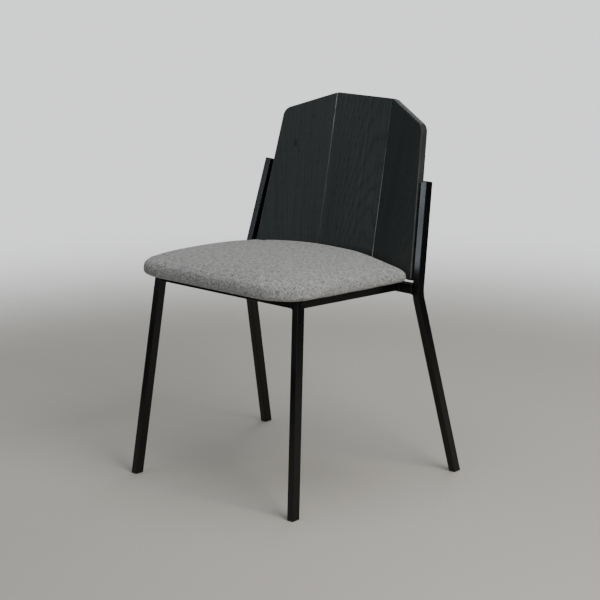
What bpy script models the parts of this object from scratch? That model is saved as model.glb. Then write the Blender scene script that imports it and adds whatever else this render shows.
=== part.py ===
"""Dining chair: a welded steel tube frame, an upholstered seat and a three-facet timber back.

Metres, +Z up, feet on z = 0, the sitter faces -Y, and X runs across the seat.
The origin is on the floor, under the middle of the chair's overall width and depth.
"""
import math

import bmesh
import bpy
from mathutils import Matrix, Vector

# ---------------------------------------------------------------- driving dimensions
GAP = 0.0003                    # clearance between pieces that touch
TUBE_WIDTH = 0.015              # legs across the chair, and the width of the front and side rails
TUBE_DEPTH = 0.020              # legs from front to back
RAIL_HEIGHT = 0.017             # front and side rails
REAR_RAIL_SIDE = 0.020          # the rear rail is a square tube
TUBE_WALL = 0.0015
TUBE_CORNER = 0.0018            # outside corner radius of the tube
OVERRUN = 0.020                 # length modelled past a plane, then cut off along it

FRONT_FOOT = (0.2204, -0.2346)  # middle of a front foot on the floor, x and y
FRONT_LEG_TOP = (0.1904, -0.1840)
FRONT_LEG_HEIGHT = 0.4107       # height at which FRONT_LEG_TOP is measured
REAR_FOOT = (0.2696, 0.2134)
REAR_BEND = (0.2384, 0.1240, 0.3911)
POST_TOP = (0.2152, 0.1786, 0.6127)
BEND_RADIUS = 0.060

SEAT_PITCH = math.radians(3.05)  # the seat frame falls towards the back
RAIL_TOP_FRONT = 0.4272         # top of the seat frame at the front legs' middle
SIDE_RAIL_X = 0.1897
REAR_RAIL_Y = 0.1240

SEAT_FRONT_Y = -0.2515
SEAT_FRONT_HALF = 0.2170
SEAT_REAR_HALF = 0.2120
SEAT_REAR_CORNER_Y = 0.1250
SEAT_REAR_MIDDLE_Y = 0.1660
SEAT_FRONT_RADIUS = 0.075
SEAT_REAR_RADIUS = 0.018
COVER_THICKNESS = 0.0012
BOARD_THICKNESS = 0.010
BOARD_INSET = 0.011

BACK_THICKNESS = 0.015
BACK_LEAN = math.radians(11.1)
BACK_FOLD = math.radians(17.6)  # each wing turns forward by this much
FOLD_HALF = 0.0755              # half the width of the middle board's front face
FOLD_POINT = (0.1814, 0.4775)   # a point on the fold lines, y and z
BACK_TOP = 0.7628
BACK_BOTTOM = 0.4155
WING_LOW_REACH = 0.1504         # wing's width along itself at the bottom edge
WING_TOP_REACH = 0.1191         # and at the outer end of its sloping top edge
WING_TOP = 0.7222               # height of that outer end before it is rounded
WING_CORNER_RADIUS = 0.023
BACK_CORNER_RADIUS = 0.006      # lower outer corner of a wing
MITRE_CORNER_RADIUS = 0.0005    # corners that the mitre cuts away

GLIDE_FLANGE = 0.003
PLUG_LENGTH = 0.018
CAP_FLANGE = 0.002

SEAT_TAB_SIZE = (0.030, 0.024, 0.003)
SEAT_TAB_Y = (-0.120, 0.070)
SEAT_TAB_SCREW = 0.018          # from the rail's inner face to the tab's screw
BACK_TAB_SIZE = (0.036, 0.034, 0.003)
BACK_TAB_OVERHANG = 0.012       # how far a tab reaches past the wing's edge, to the post
BACK_TAB_HEIGHTS = (0.462, 0.575)
BACK_SCREW_INSET = 0.014        # from the wing's edge to the screws
BACK_SCREW_SPREAD = 0.016       # between the two screws of a back tab
SCREW_SHANK = 0.0020            # radii
SCREW_HEAD = 0.0042
SCREW_HOLE = 0.0024
SCREW_HEAD_HEIGHT = 0.0024
SCREW_POINT = 0.003             # length of the pointed tip
SEAT_SCREW_LENGTH = 0.010
BACK_SCREW_LENGTH = 0.014
DRILL_START = -0.010            # holes are drilled from this far in front of the face

SPLINE_SIZE = (0.016, 0.003)    # loose tongue in each fold joint, width and thickness
SPLINE_END_MARGIN = 0.030

CUTTER_REACH = 0.5              # half size of a cutter that must pass right through
SIDES = (("left", -1), ("right", 1))


# ---------------------------------------------------------------- scene and materials
def clear_scene():
    for item in list(bpy.data.objects):
        bpy.data.objects.remove(item, do_unlink=True)


def new_collection(name):
    group = bpy.data.collections.new(name)
    bpy.context.scene.collection.children.link(group)
    return group


def material(name, colour, roughness, metallic=0.0):
    made = bpy.data.materials.new(name)
    made.use_nodes = True
    shader = made.node_tree.nodes["Principled BSDF"]
    shader.inputs["Base Color"].default_value = (*colour, 1.0)
    shader.inputs["Roughness"].default_value = roughness
    shader.inputs["Metallic"].default_value = metallic
    return made


clear_scene()
PARTS = new_collection("dining_chair")
CUTTERS = new_collection("cutters")
STEEL_COLOUR = (0.012, 0.012, 0.013)
ZINC_COLOUR = (0.55, 0.55, 0.56)
BLACK_WOOD_COLOUR = (0.022, 0.023, 0.026)
BIRCH_COLOUR = (0.62, 0.46, 0.28)
PLASTIC_COLOUR = (0.02, 0.02, 0.02)
FOAM_COLOUR = (0.80, 0.74, 0.55)
FABRIC_COLOUR = (0.30, 0.30, 0.305)
LINING_COLOUR = (0.03, 0.03, 0.03)


# ---------------------------------------------------------------- shared shape helpers
def place(item, matrix, group, finish=None):
    item.matrix_world = matrix
    group.objects.link(item)
    if finish is not None:
        item.data.materials.clear()
        item.data.materials.append(finish)
    if group is CUTTERS:
        item.hide_render = True
        item.display_type = "WIRE"
    return item


def frame_matrix(origin, x_axis, z_axis):
    """A placement whose Z lies along z_axis and whose X is as near to x_axis as it can be."""
    z_dir = Vector(z_axis).normalized()
    x_dir = Vector(x_axis) - Vector(x_axis).dot(z_dir) * z_dir
    x_dir.normalize()
    y_dir = z_dir.cross(x_dir)
    turn = Matrix((x_dir, y_dir, z_dir)).transposed().to_4x4()
    return Matrix.Translation(Vector(origin)) @ turn


def rounded_polygon(corners, radii, steps=6):
    """Corner points in order round a convex outline, each replaced by an arc of its radius."""
    points = []
    count = len(corners)
    for index, corner in enumerate(corners):
        here = Vector(corner)
        before = (Vector(corners[index - 1]) - here).normalized()
        after = (Vector(corners[(index + 1) % count]) - here).normalized()
        half_angle = before.angle(after) / 2
        radius = radii[index]
        centre = here + (before + after).normalized() * radius / math.sin(half_angle)
        start = here + before * radius / math.tan(half_angle) - centre
        end = here + after * radius / math.tan(half_angle) - centre
        sweep = start.angle_signed(end)
        for step in range(steps + 1):
            turned = start.copy()
            turned.rotate(Matrix.Rotation(-sweep * step / steps, 2))
            points.append(centre + turned)
    return points


def inset_corners(corners, inset):
    """The corners of a convex outline after each edge moves inwards by the inset."""
    moved = []
    count = len(corners)
    for index, corner in enumerate(corners):
        here = Vector(corner)
        before = (Vector(corners[index - 1]) - here).normalized()
        after = (Vector(corners[(index + 1) % count]) - here).normalized()
        half_angle = before.angle(after) / 2
        moved.append(here + (before + after).normalized() * inset / math.sin(half_angle))
    return moved


def tube_outline(inset=0.0, width=TUBE_WIDTH, depth=TUBE_DEPTH):
    half_x = width / 2 - inset
    half_y = depth / 2 - inset
    corners = [(-half_x, -half_y), (half_x, -half_y), (half_x, half_y), (-half_x, half_y)]
    radius = max(TUBE_CORNER - inset, 0.0004)
    return rounded_polygon(corners, [radius] * 4, steps=3)


def outline_curve(name, outline, length, filled):
    """A flat outline in XY, extruded evenly to both sides of the plane."""
    curve = bpy.data.curves.new(name, "CURVE")
    curve.dimensions = "2D"
    curve.fill_mode = "BOTH" if filled else "NONE"
    curve.extrude = length / 2
    spline = curve.splines.new("POLY")
    spline.points.add(len(outline) - 1)
    for point, place_xy in zip(spline.points, outline):
        point.co = (place_xy[0], place_xy[1], 0, 1)
    spline.use_cyclic_u = True
    return curve


def mesh_from_curve(name, curve, shift=(0, 0, 0)):
    """The curve's surface as a mesh, with loose caps welded and faces pointing out."""
    holder = bpy.data.objects.new(name, curve)
    bpy.context.scene.collection.objects.link(holder)
    bpy.context.view_layer.update()
    evaluated = holder.evaluated_get(bpy.context.evaluated_depsgraph_get())
    mesh = bpy.data.meshes.new_from_object(evaluated)
    bpy.data.objects.remove(holder, do_unlink=True)
    bpy.data.curves.remove(curve)
    shape = bmesh.new()
    shape.from_mesh(mesh)
    bmesh.ops.remove_doubles(shape, verts=shape.verts, dist=0.00001)
    bmesh.ops.translate(shape, verts=shape.verts, vec=shift)
    bmesh.ops.recalc_face_normals(shape, faces=shape.faces)
    shape.to_mesh(mesh)
    shape.free()
    mesh.name = name
    return mesh


def prism(name, outline, low, high, matrix, group, finish=None):
    """A closed prism of the outline, from low to high along its own Z."""
    curve = outline_curve(name, outline, high - low, filled=True)
    mesh = mesh_from_curve(name, curve, shift=(0, 0, (low + high) / 2))
    return place(bpy.data.objects.new(name, mesh), matrix, group, finish)


def add_wall(item):
    wall = item.modifiers.new("wall", "SOLIDIFY")
    wall.thickness = TUBE_WALL
    wall.offset = -1.0
    wall.use_even_offset = True


def straight_tube(name, low, high, matrix, finish, outline=None):
    """A hollow tube with open ends, from low to high along its own Z."""
    curve = outline_curve(name, outline or tube_outline(), high - low, filled=False)
    mesh = mesh_from_curve(name, curve, shift=(0, 0, (low + high) / 2))
    tube = place(bpy.data.objects.new(name, mesh), matrix, PARTS, finish)
    add_wall(tube)
    return tube


def box(name, low, high, matrix, group, finish=None):
    mesh = bpy.data.meshes.new(name)
    shape = bmesh.new()
    size = [top - bottom for bottom, top in zip(low, high)]
    middle = [(top + bottom) / 2 for bottom, top in zip(low, high)]
    bmesh.ops.create_cube(shape, size=1.0)
    bmesh.ops.scale(shape, verts=shape.verts, vec=size)
    bmesh.ops.translate(shape, verts=shape.verts, vec=middle)
    shape.to_mesh(mesh)
    shape.free()
    return place(bpy.data.objects.new(name, mesh), matrix, group, finish)


def cylinder(name, radius, low, high, matrix, group, finish=None, sides=16):
    mesh = bpy.data.meshes.new(name)
    shape = bmesh.new()
    bmesh.ops.create_cone(shape, cap_ends=True, segments=sides, radius1=radius,
                          radius2=radius, depth=high - low)
    bmesh.ops.translate(shape, verts=shape.verts, vec=(0, 0, (low + high) / 2))
    shape.to_mesh(mesh)
    shape.free()
    return place(bpy.data.objects.new(name, mesh), matrix, group, finish)


def combine(item, other, operation="DIFFERENCE"):
    step = item.modifiers.new(operation.lower(), "BOOLEAN")
    step.operation = operation
    step.solver = "EXACT"
    step.object = other


# ---------------------------------------------------------------- where the frame runs
def front_leg_matrix(side):
    foot = Vector((side * FRONT_FOOT[0], FRONT_FOOT[1], 0))
    top = Vector((side * FRONT_LEG_TOP[0], FRONT_LEG_TOP[1], FRONT_LEG_HEIGHT))
    return frame_matrix(foot, (1, 0, 0), top - foot)


def seat_matrix():
    """Origin on the seat frame's top at the front legs, Y running back down the pitch."""
    return (Matrix.Translation((0, FRONT_LEG_TOP[1], RAIL_TOP_FRONT))
            @ Matrix.Rotation(-SEAT_PITCH, 4, "X"))


def plane_of_bend(side):
    """The rear leg is bent in one plane: a frame whose X is its normal, and the ends in it."""
    bend = Vector((side * REAR_BEND[0], *REAR_BEND[1:]))
    foot = Vector((side * REAR_FOOT[0], REAR_FOOT[1], 0))
    top = Vector((side * POST_TOP[0], *POST_TOP[1:]))
    normal = (foot - bend).cross(top - bend)
    if normal.x < 0:
        normal.negate()
    normal.normalize()
    upright = Vector((0, 0, 1)) - normal.z * normal
    upright.normalize()
    sideways = upright.cross(normal)
    turn = Matrix((normal, sideways, upright)).transposed().to_4x4()
    matrix = Matrix.Translation(bend) @ turn
    return matrix, matrix.inverted() @ foot, matrix.inverted() @ top


def bent_path(foot, top, extra_foot=0.0, extra_top=0.0, arc_steps=6):
    """Points in the bend plane: straight leg, arc about the bend, straight post."""
    down = foot.normalized()
    up = top.normalized()
    half_angle = down.angle(up) / 2
    tangent = BEND_RADIUS / math.tan(half_angle)
    centre = (down + up).normalized() * BEND_RADIUS / math.sin(half_angle)
    start = down * tangent - centre
    end = up * tangent - centre
    axis = start.cross(end)
    sweep = start.angle(end)
    points = [foot + down * extra_foot]
    for step in range(arc_steps + 1):
        points.append(centre + Matrix.Rotation(sweep * step / arc_steps, 3, axis) @ start)
    points.append(top + up * extra_top)
    return points


def swept_mesh(name, path, outline, capped):
    """The outline carried along the path, with the outline's Y in the path's plane."""
    section = outline_curve(name + "_section", outline, 0.0, filled=False)
    section_item = bpy.data.objects.new(name + "_section", section)
    bpy.context.scene.collection.objects.link(section_item)
    curve = bpy.data.curves.new(name, "CURVE")
    curve.dimensions = "3D"
    curve.bevel_mode = "OBJECT"
    curve.bevel_object = section_item
    curve.use_fill_caps = capped
    spline = curve.splines.new("POLY")
    spline.points.add(len(path) - 1)
    for point, position in zip(spline.points, path):
        point.co = (*position, 1)
    mesh = mesh_from_curve(name, curve)
    bpy.data.objects.remove(section_item, do_unlink=True)
    bpy.data.curves.remove(section)
    return mesh


# ---------------------------------------------------------------- cutters shared by the frame
WORLD = Matrix.Identity(4)
FLOOR_CUTTER = box("floor_cutter", (-CUTTER_REACH, -CUTTER_REACH, -2 * OVERRUN),
                   (CUTTER_REACH, CUTTER_REACH, GLIDE_FLANGE), WORLD, CUTTERS)
SEAT_PLANE_CUTTER = box("seat_plane_cutter", (-CUTTER_REACH, -CUTTER_REACH, 0),
                        (CUTTER_REACH, CUTTER_REACH, 4 * OVERRUN), seat_matrix(), CUTTERS)
FRONT_LEG_RUN = (-OVERRUN, RAIL_TOP_FRONT + 1.5 * OVERRUN)   # along the leg, before it is cut
FRONT_LEG_SPACE = {}
REAR_LEG_SPACE = {}
for side_name, side_sign in SIDES:
    FRONT_LEG_SPACE[side_name] = prism(
        "front_leg_space_" + side_name, tube_outline(-GAP), *FRONT_LEG_RUN,
        front_leg_matrix(side_sign), CUTTERS)
    leg_matrix, leg_foot, leg_top = plane_of_bend(side_sign)
    space_mesh = swept_mesh("rear_leg_space_" + side_name, bent_path(leg_foot, leg_top),
                            tube_outline(-GAP), capped=True)
    REAR_LEG_SPACE[side_name] = place(
        bpy.data.objects.new("rear_leg_space_" + side_name, space_mesh), leg_matrix, CUTTERS)
REAR_RAIL_MIDDLE = (0, (REAR_RAIL_Y - FRONT_LEG_TOP[1]) / math.cos(SEAT_PITCH),
                    -REAR_RAIL_SIDE / 2)
REAR_RAIL_SPACE = box(
    "rear_rail_space",
    (-CUTTER_REACH, REAR_RAIL_MIDDLE[1] - REAR_RAIL_SIDE / 2 - GAP, -REAR_RAIL_SIDE - GAP),
    (CUTTER_REACH, REAR_RAIL_MIDDLE[1] + REAR_RAIL_SIDE, GAP), seat_matrix(), CUTTERS)


# ---------------------------------------------------------------- steel frame
def make_front_leg(side_name, side):
    steel = material("front_leg_%s_steel" % side_name, STEEL_COLOUR, 0.35, 0.3)
    leg = straight_tube("front_leg_" + side_name, *FRONT_LEG_RUN, front_leg_matrix(side), steel)
    combine(leg, FLOOR_CUTTER)
    combine(leg, SEAT_PLANE_CUTTER)


def make_rear_leg(side_name, side):
    """One bent tube is both the rear leg and the post that holds the back."""
    name = "rear_leg_post_" + side_name
    steel = material(name + "_steel", STEEL_COLOUR, 0.35, 0.3)
    matrix, foot, top = plane_of_bend(side)
    path = bent_path(foot, top, extra_foot=OVERRUN, extra_top=-CAP_FLANGE - GAP)
    mesh = swept_mesh(name, path, tube_outline(), capped=False)
    leg = place(bpy.data.objects.new(name, mesh), matrix, PARTS, steel)
    add_wall(leg)
    combine(leg, FLOOR_CUTTER)


def rail_matrix(centre, along):
    """A rail's own Z runs along it and its own Y is up, square to the seat frame."""
    seat = seat_matrix()
    up = seat.to_3x3() @ Vector((0, 0, 1))
    run = seat.to_3x3() @ Vector(along)
    side_axis = up.cross(run)
    return frame_matrix(seat @ Vector(centre), side_axis, run)


FRONT_RAIL_Y = -(TUBE_DEPTH - TUBE_WIDTH) / 2   # flush with the fronts of the legs
RAIL_OUTLINE = tube_outline(width=TUBE_WIDTH, depth=RAIL_HEIGHT)


def make_front_rail():
    steel = material("front_rail_steel", STEEL_COLOUR, 0.35, 0.3)
    matrix = rail_matrix((0, FRONT_RAIL_Y, -RAIL_HEIGHT / 2), (1, 0, 0))
    rail = straight_tube("front_rail", -FRONT_LEG_TOP[0], FRONT_LEG_TOP[0], matrix, steel,
                         RAIL_OUTLINE)
    for side_name, _ in SIDES:
        combine(rail, FRONT_LEG_SPACE[side_name])


def make_side_rail(side_name, side):
    steel = material("side_rail_%s_steel" % side_name, STEEL_COLOUR, 0.35, 0.3)
    matrix = rail_matrix((side * SIDE_RAIL_X, 0, -RAIL_HEIGHT / 2), (0, 1, 0))
    behind_front_rail = FRONT_RAIL_Y + TUBE_WIDTH / 2 + GAP
    rail = straight_tube("side_rail_" + side_name, behind_front_rail, REAR_RAIL_MIDDLE[1],
                         matrix, steel, RAIL_OUTLINE)
    combine(rail, FRONT_LEG_SPACE[side_name])
    combine(rail, REAR_RAIL_SPACE)


def make_rear_rail():
    """The rear rail runs out past the side rails to the two posts."""
    steel = material("rear_rail_steel", STEEL_COLOUR, 0.35, 0.3)
    outline = tube_outline(width=REAR_RAIL_SIDE, depth=REAR_RAIL_SIDE)
    matrix = rail_matrix(REAR_RAIL_MIDDLE, (1, 0, 0))
    rail = straight_tube("rear_rail", -REAR_BEND[0], REAR_BEND[0], matrix, steel, outline)
    for side_name, _ in SIDES:
        combine(rail, REAR_LEG_SPACE[side_name])


def make_glide(name, matrix):
    """Plastic foot: a flange under the tube's end and a plug pushed up inside it."""
    plastic = material(name + "_plastic", PLASTIC_COLOUR, 0.55)
    bore = tube_outline(TUBE_WALL + GAP)
    plug = prism(name + "_plug", bore, -OVERRUN, PLUG_LENGTH, matrix, CUTTERS)
    ground = box(name + "_ground", (-CUTTER_REACH, -CUTTER_REACH, -2 * OVERRUN),
                 (CUTTER_REACH, CUTTER_REACH, GLIDE_FLANGE / 2), WORLD, CUTTERS)
    combine(plug, ground)
    slab = box(name + "_slab", (-CUTTER_REACH, -CUTTER_REACH, 0),
               (CUTTER_REACH, CUTTER_REACH, GLIDE_FLANGE - GAP), WORLD, CUTTERS)
    glide = prism(name, tube_outline(), -OVERRUN, OVERRUN, matrix, PARTS, plastic)
    combine(glide, slab, "INTERSECT")
    combine(glide, plug, "UNION")


def rear_foot_matrix(side):
    matrix, foot, _ = plane_of_bend(side)
    normal = matrix.to_3x3() @ Vector((1, 0, 0))
    axis = matrix.to_3x3() @ -foot
    return frame_matrix(matrix @ foot, normal, axis)


def post_top_matrix(side):
    matrix, _, top = plane_of_bend(side)
    normal = matrix.to_3x3() @ Vector((1, 0, 0))
    axis = matrix.to_3x3() @ top
    return frame_matrix(matrix @ top, normal, axis)


def make_post_cap(side_name, side):
    """Plastic insert that closes the square-cut top of a post."""
    name = "post_cap_" + side_name
    plastic = material(name + "_plastic", PLASTIC_COLOUR, 0.5)
    matrix = post_top_matrix(side)
    bore = tube_outline(TUBE_WALL + GAP)
    plug = prism(name + "_plug", bore, -PLUG_LENGTH, -CAP_FLANGE / 2, matrix, CUTTERS)
    cap = prism(name, tube_outline(), -CAP_FLANGE, 0, matrix, PARTS, plastic)
    combine(cap, plug, "UNION")


# ---------------------------------------------------------------- screws
def make_screw(name, length, matrix):
    """Pan-head screw turned from a profile. Its seat is at z = 0 and its tip points to +Z."""
    zinc = material(name + "_zinc", ZINC_COLOUR, 0.35, 1.0)
    dome = SCREW_HEAD_HEIGHT
    profile = [(0, -dome), (SCREW_HEAD * 0.55, -dome * 0.92), (SCREW_HEAD * 0.9, -dome * 0.6),
               (SCREW_HEAD, -dome * 0.15), (SCREW_HEAD, 0), (SCREW_SHANK, 0),
               (SCREW_SHANK, length - SCREW_POINT), (0, length)]
    mesh = bpy.data.meshes.new(name)
    mesh.from_pydata([(x, 0, z) for x, z in reversed(profile)],
                     [(index, index + 1) for index in range(len(profile) - 1)], [])
    screw = place(bpy.data.objects.new(name, mesh), matrix, PARTS, zinc)
    turn = screw.modifiers.new("turn", "SCREW")
    turn.steps = 16
    turn.render_steps = 16
    turn.use_merge_vertices = True
    turn.merge_threshold = 0.00001
    turn.use_normal_calculate = False


# ---------------------------------------------------------------- seat
def seat_corners(inset=0.0):
    """The cushion's plan, square to the seat frame, with Y measured from the front legs."""
    stretch = 1 / math.cos(SEAT_PITCH)
    rows = [(-SEAT_FRONT_HALF, SEAT_FRONT_Y), (SEAT_FRONT_HALF, SEAT_FRONT_Y),
            (SEAT_REAR_HALF, SEAT_REAR_CORNER_Y), (FOLD_HALF, SEAT_REAR_MIDDLE_Y),
            (-FOLD_HALF, SEAT_REAR_MIDDLE_Y), (-SEAT_REAR_HALF, SEAT_REAR_CORNER_Y)]
    corners = [(x, (y - FRONT_LEG_TOP[1]) * stretch) for x, y in rows]
    return inset_corners(corners, inset)


def seat_outline(inset=0.0):
    """The plan moved inwards. The corner arcs stay generous on the crown's inner rings."""
    radii = [SEAT_FRONT_RADIUS, SEAT_FRONT_RADIUS, SEAT_REAR_RADIUS, 0.02, 0.02, SEAT_REAR_RADIUS]
    radii = [max(radius - inset, 0.2 * inset, 0.004) for radius in radii]
    return rounded_polygon(seat_corners(inset), radii, steps=7)


# Each step is a pair: how far in from the widest outline, and the height above the seat frame.
TUCK = [(0.029, GAP), (0.007, GAP), (0.0015, 0.005), (0.0, 0.012)]
CROWN = [(0.0, 0.014), (0.0015, 0.021), (0.006, 0.029), (0.016, 0.036), (0.034, 0.043),
         (0.064, 0.050), (0.100, 0.0550), (0.140, 0.0575)]


def crowned_mesh(name, steps, open_below):
    """A loft through the seat outline at each step's inset and height, closed on top."""
    mesh = bpy.data.meshes.new(name)
    shape = bmesh.new()
    rings = []
    for inset, height in steps:
        outline = seat_outline(inset)
        rings.append([shape.verts.new((point[0], point[1], height)) for point in outline])
    for lower, upper in zip(rings, rings[1:]):
        for index in range(len(lower)):
            shape.faces.new((lower[index - 1], lower[index], upper[index], upper[index - 1]))
    shape.faces.new(rings[-1])
    if not open_below:
        shape.faces.new(list(reversed(rings[0])))
    bmesh.ops.recalc_face_normals(shape, faces=shape.faces)
    shape.to_mesh(mesh)
    shape.free()
    return mesh


def make_seat_board(matrix):
    """Plywood base, with a blind hole over each fixing tab."""
    birch = material("seat_board_birch", BIRCH_COLOUR, 0.6)
    low = COVER_THICKNESS + 2 * GAP
    screw_tip = SEAT_SCREW_LENGTH - SEAT_TAB_SIZE[2] - 2 * GAP
    board = prism("seat_board", seat_outline(BOARD_INSET), low, low + BOARD_THICKNESS,
                  matrix, PARTS, birch)
    for _, tab in seat_tab_places():
        hole = cylinder("board_hole", SCREW_HOLE, DRILL_START, screw_tip + 2 * GAP,
                        matrix @ Matrix.Translation(tab), CUTTERS)
        combine(board, hole)


def make_seat_foam(matrix):
    foam = material("seat_foam_foam", FOAM_COLOUR, 0.95)
    skin = COVER_THICKNESS + GAP
    low = COVER_THICKNESS + 3 * GAP + BOARD_THICKNESS
    steps = [(inset + skin, height - skin) for inset, height in CROWN if height - skin > low]
    steps.insert(0, (skin, low))
    mesh = crowned_mesh("seat_foam", steps, open_below=False)
    place(bpy.data.objects.new("seat_foam", mesh), matrix, PARTS, foam)


def make_seat_cover(matrix):
    """Fabric pulled over the foam and turned under the board, open in the middle below."""
    fabric = material("seat_cover_fabric", FABRIC_COLOUR, 0.9)
    mesh = crowned_mesh("seat_cover", TUCK + CROWN, open_below=True)
    cover = place(bpy.data.objects.new("seat_cover", mesh), matrix, PARTS, fabric)
    cloth = cover.modifiers.new("cloth", "SOLIDIFY")
    cloth.thickness = COVER_THICKNESS
    cloth.offset = -1.0
    cloth.use_even_offset = True


def make_dust_cover(matrix):
    """Thin black lining that closes the opening under the seat."""
    lining = material("dust_cover_lining", LINING_COLOUR, 0.95)
    inset = TUCK[0][0] + 2 * GAP
    sheet = prism("dust_cover", seat_outline(inset), GAP, GAP + COVER_THICKNESS,
                  matrix, PARTS, lining)
    for _, tab in seat_tab_places():
        hole = cylinder("lining_hole", SCREW_HOLE, DRILL_START, -DRILL_START,
                        matrix @ Matrix.Translation(tab), CUTTERS)
        combine(sheet, hole)


# ---------------------------------------------------------------- seat fixing tabs
def seat_tab_places():
    """Names and screw positions of the four tabs, on the seat frame's top plane."""
    places = []
    screw_x = SIDE_RAIL_X - TUBE_WIDTH / 2 - SEAT_TAB_SCREW
    for side_name, side in SIDES:
        for row_name, y in zip(("front", "rear"), SEAT_TAB_Y):
            along = (y - FRONT_LEG_TOP[1]) / math.cos(SEAT_PITCH)
            places.append(("%s_%s" % (row_name, side_name), Vector((side * screw_x, along, 0))))
    return places


def make_seat_tabs(matrix):
    """Flat steel tabs welded inside the side rails, each drilled for one screw."""
    for tab_name, screw_at in seat_tab_places():
        side = math.copysign(1, screw_at.x)
        outer = side * (SIDE_RAIL_X - TUBE_WIDTH / 2 - GAP)
        inner = outer - side * SEAT_TAB_SIZE[0]
        half = SEAT_TAB_SIZE[1] / 2
        low = (min(outer, inner), screw_at.y - half, -GAP - SEAT_TAB_SIZE[2])
        high = (max(outer, inner), screw_at.y + half, -GAP)
        steel = material("seat_tab_%s_steel" % tab_name, STEEL_COLOUR, 0.4, 0.3)
        tab = box("seat_tab_" + tab_name, low, high, matrix, PARTS, steel)
        hole = cylinder("tab_hole", SCREW_HOLE, DRILL_START, -DRILL_START,
                        matrix @ Matrix.Translation(screw_at), CUTTERS)
        combine(tab, hole)
        seat_of_head = screw_at + Vector((0, 0, -2 * GAP - SEAT_TAB_SIZE[2]))
        make_screw("seat_screw_" + tab_name, SEAT_SCREW_LENGTH,
                   matrix @ Matrix.Translation(seat_of_head))


# ---------------------------------------------------------------- back
UPRIGHT = Vector((0, math.sin(BACK_LEAN), math.cos(BACK_LEAN)))


def wing_axes(side):
    """Across the wing (towards +X), up it, and out of its front face."""
    across = Vector((math.cos(BACK_FOLD), -side * math.sin(BACK_FOLD), 0))
    up = UPRIGHT - UPRIGHT.dot(across) * across
    up.normalize()
    return across, up, across.cross(up)


def board_matrix(side):
    """Origin on the fold line, or on the middle line for the middle board (side 0)."""
    across = Vector((1, 0, 0)) if side == 0 else wing_axes(side)[0]
    origin = Vector((side * FOLD_HALF, FOLD_POINT[0], FOLD_POINT[1]))
    up = UPRIGHT - UPRIGHT.dot(across) * across
    return frame_matrix(origin, across, across.cross(up))


def wing_point(side, reach, height):
    """A point on a wing's front face: so far out along it, at this height from the floor."""
    across, _, _ = wing_axes(side)
    climb = (height - FOLD_POINT[1]) / math.cos(BACK_LEAN)
    fold = Vector((side * FOLD_HALF, FOLD_POINT[0], FOLD_POINT[1])) + UPRIGHT * climb
    return fold + across * side * reach


def mitre_matrix(side):
    """Placed on a fold line, X square to the joint and pointing out, Y out of the front."""
    middle_front = Vector((0, -math.cos(BACK_LEAN), math.sin(BACK_LEAN)))
    wing_front = wing_axes(side)[2]
    across = (middle_front - wing_front).normalized()
    if across.x * side < 0:
        across.negate()
    origin = Vector((side * FOLD_HALF, FOLD_POINT[0], FOLD_POINT[1]))
    return frame_matrix(origin, across, UPRIGHT)


def add_board(name, outline, side):
    wood = material(name + "_wood", BLACK_WOOD_COLOUR, 0.5)
    return prism(name, outline, -BACK_THICKNESS, 0, board_matrix(side), PARTS, wood)


def spline_box(side, clearance):
    """Low and high corners of the loose tongue, in the mitre's frame, half way through."""
    width, thickness = SPLINE_SIZE
    front = mitre_matrix(side).to_3x3() @ Vector((0, 1, 0))
    middle = math.copysign(BACK_THICKNESS / 2, -1 if front.y < 0 else 1)
    low, high = fold_line_ends()
    return ((-width / 2 - clearance, middle - thickness / 2 - clearance,
             low + SPLINE_END_MARGIN - clearance),
            (width / 2 + clearance, middle + thickness / 2 + clearance,
             high - SPLINE_END_MARGIN + clearance))


def groove_for(side):
    return box("groove", *spline_box(side, GAP), mitre_matrix(side), CUTTERS)


def fold_line_ends():
    """The back's lower and upper edges, measured up the lean from FOLD_POINT."""
    scale = 1 / math.cos(BACK_LEAN)
    return (BACK_BOTTOM - FOLD_POINT[1]) * scale, (BACK_TOP - FOLD_POINT[1]) * scale


def make_back_middle():
    low, high = fold_line_ends()
    wide = FOLD_HALF + BACK_THICKNESS
    outline = [Vector((-wide, low)), Vector((wide, low)), Vector((wide, high)),
               Vector((-wide, high))]
    middle = add_board("back_board_middle", outline, 0)
    for _, side in SIDES:
        beyond = box("mitre_beyond", (-GAP / 2, -CUTTER_REACH, -CUTTER_REACH),
                     (CUTTER_REACH, CUTTER_REACH, CUTTER_REACH), mitre_matrix(side), CUTTERS)
        combine(middle, beyond)
        combine(middle, groove_for(side))


def make_back_wing(side_name, side):
    """One folded-forward wing: mitred at the fold, rounded at its outer top corner."""
    to_board = board_matrix(side).inverted()
    corners = [wing_point(side, -BACK_THICKNESS, BACK_BOTTOM),
               wing_point(side, WING_LOW_REACH, BACK_BOTTOM),
               wing_point(side, WING_TOP_REACH, WING_TOP),
               wing_point(side, 0, BACK_TOP),
               wing_point(side, -BACK_THICKNESS, BACK_TOP)]
    flat = [(to_board @ corner).to_2d() for corner in corners]
    radii = [MITRE_CORNER_RADIUS, BACK_CORNER_RADIUS, WING_CORNER_RADIUS,
             MITRE_CORNER_RADIUS, MITRE_CORNER_RADIUS]
    if side < 0:
        flat.reverse()
        radii.reverse()
    wing = add_board("back_board_" + side_name, rounded_polygon(flat, radii, steps=8), side)
    beyond = box("mitre_inside", (-CUTTER_REACH, -CUTTER_REACH, -CUTTER_REACH),
                 (GAP / 2, CUTTER_REACH, CUTTER_REACH), mitre_matrix(side), CUTTERS)
    combine(wing, beyond)
    combine(wing, groove_for(side))
    for _, screw_matrix in back_screw_places(side):
        hole = cylinder("wing_hole", SCREW_HOLE, DRILL_START, BACK_SCREW_LENGTH,
                        screw_matrix, CUTTERS)
        combine(wing, hole)


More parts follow.
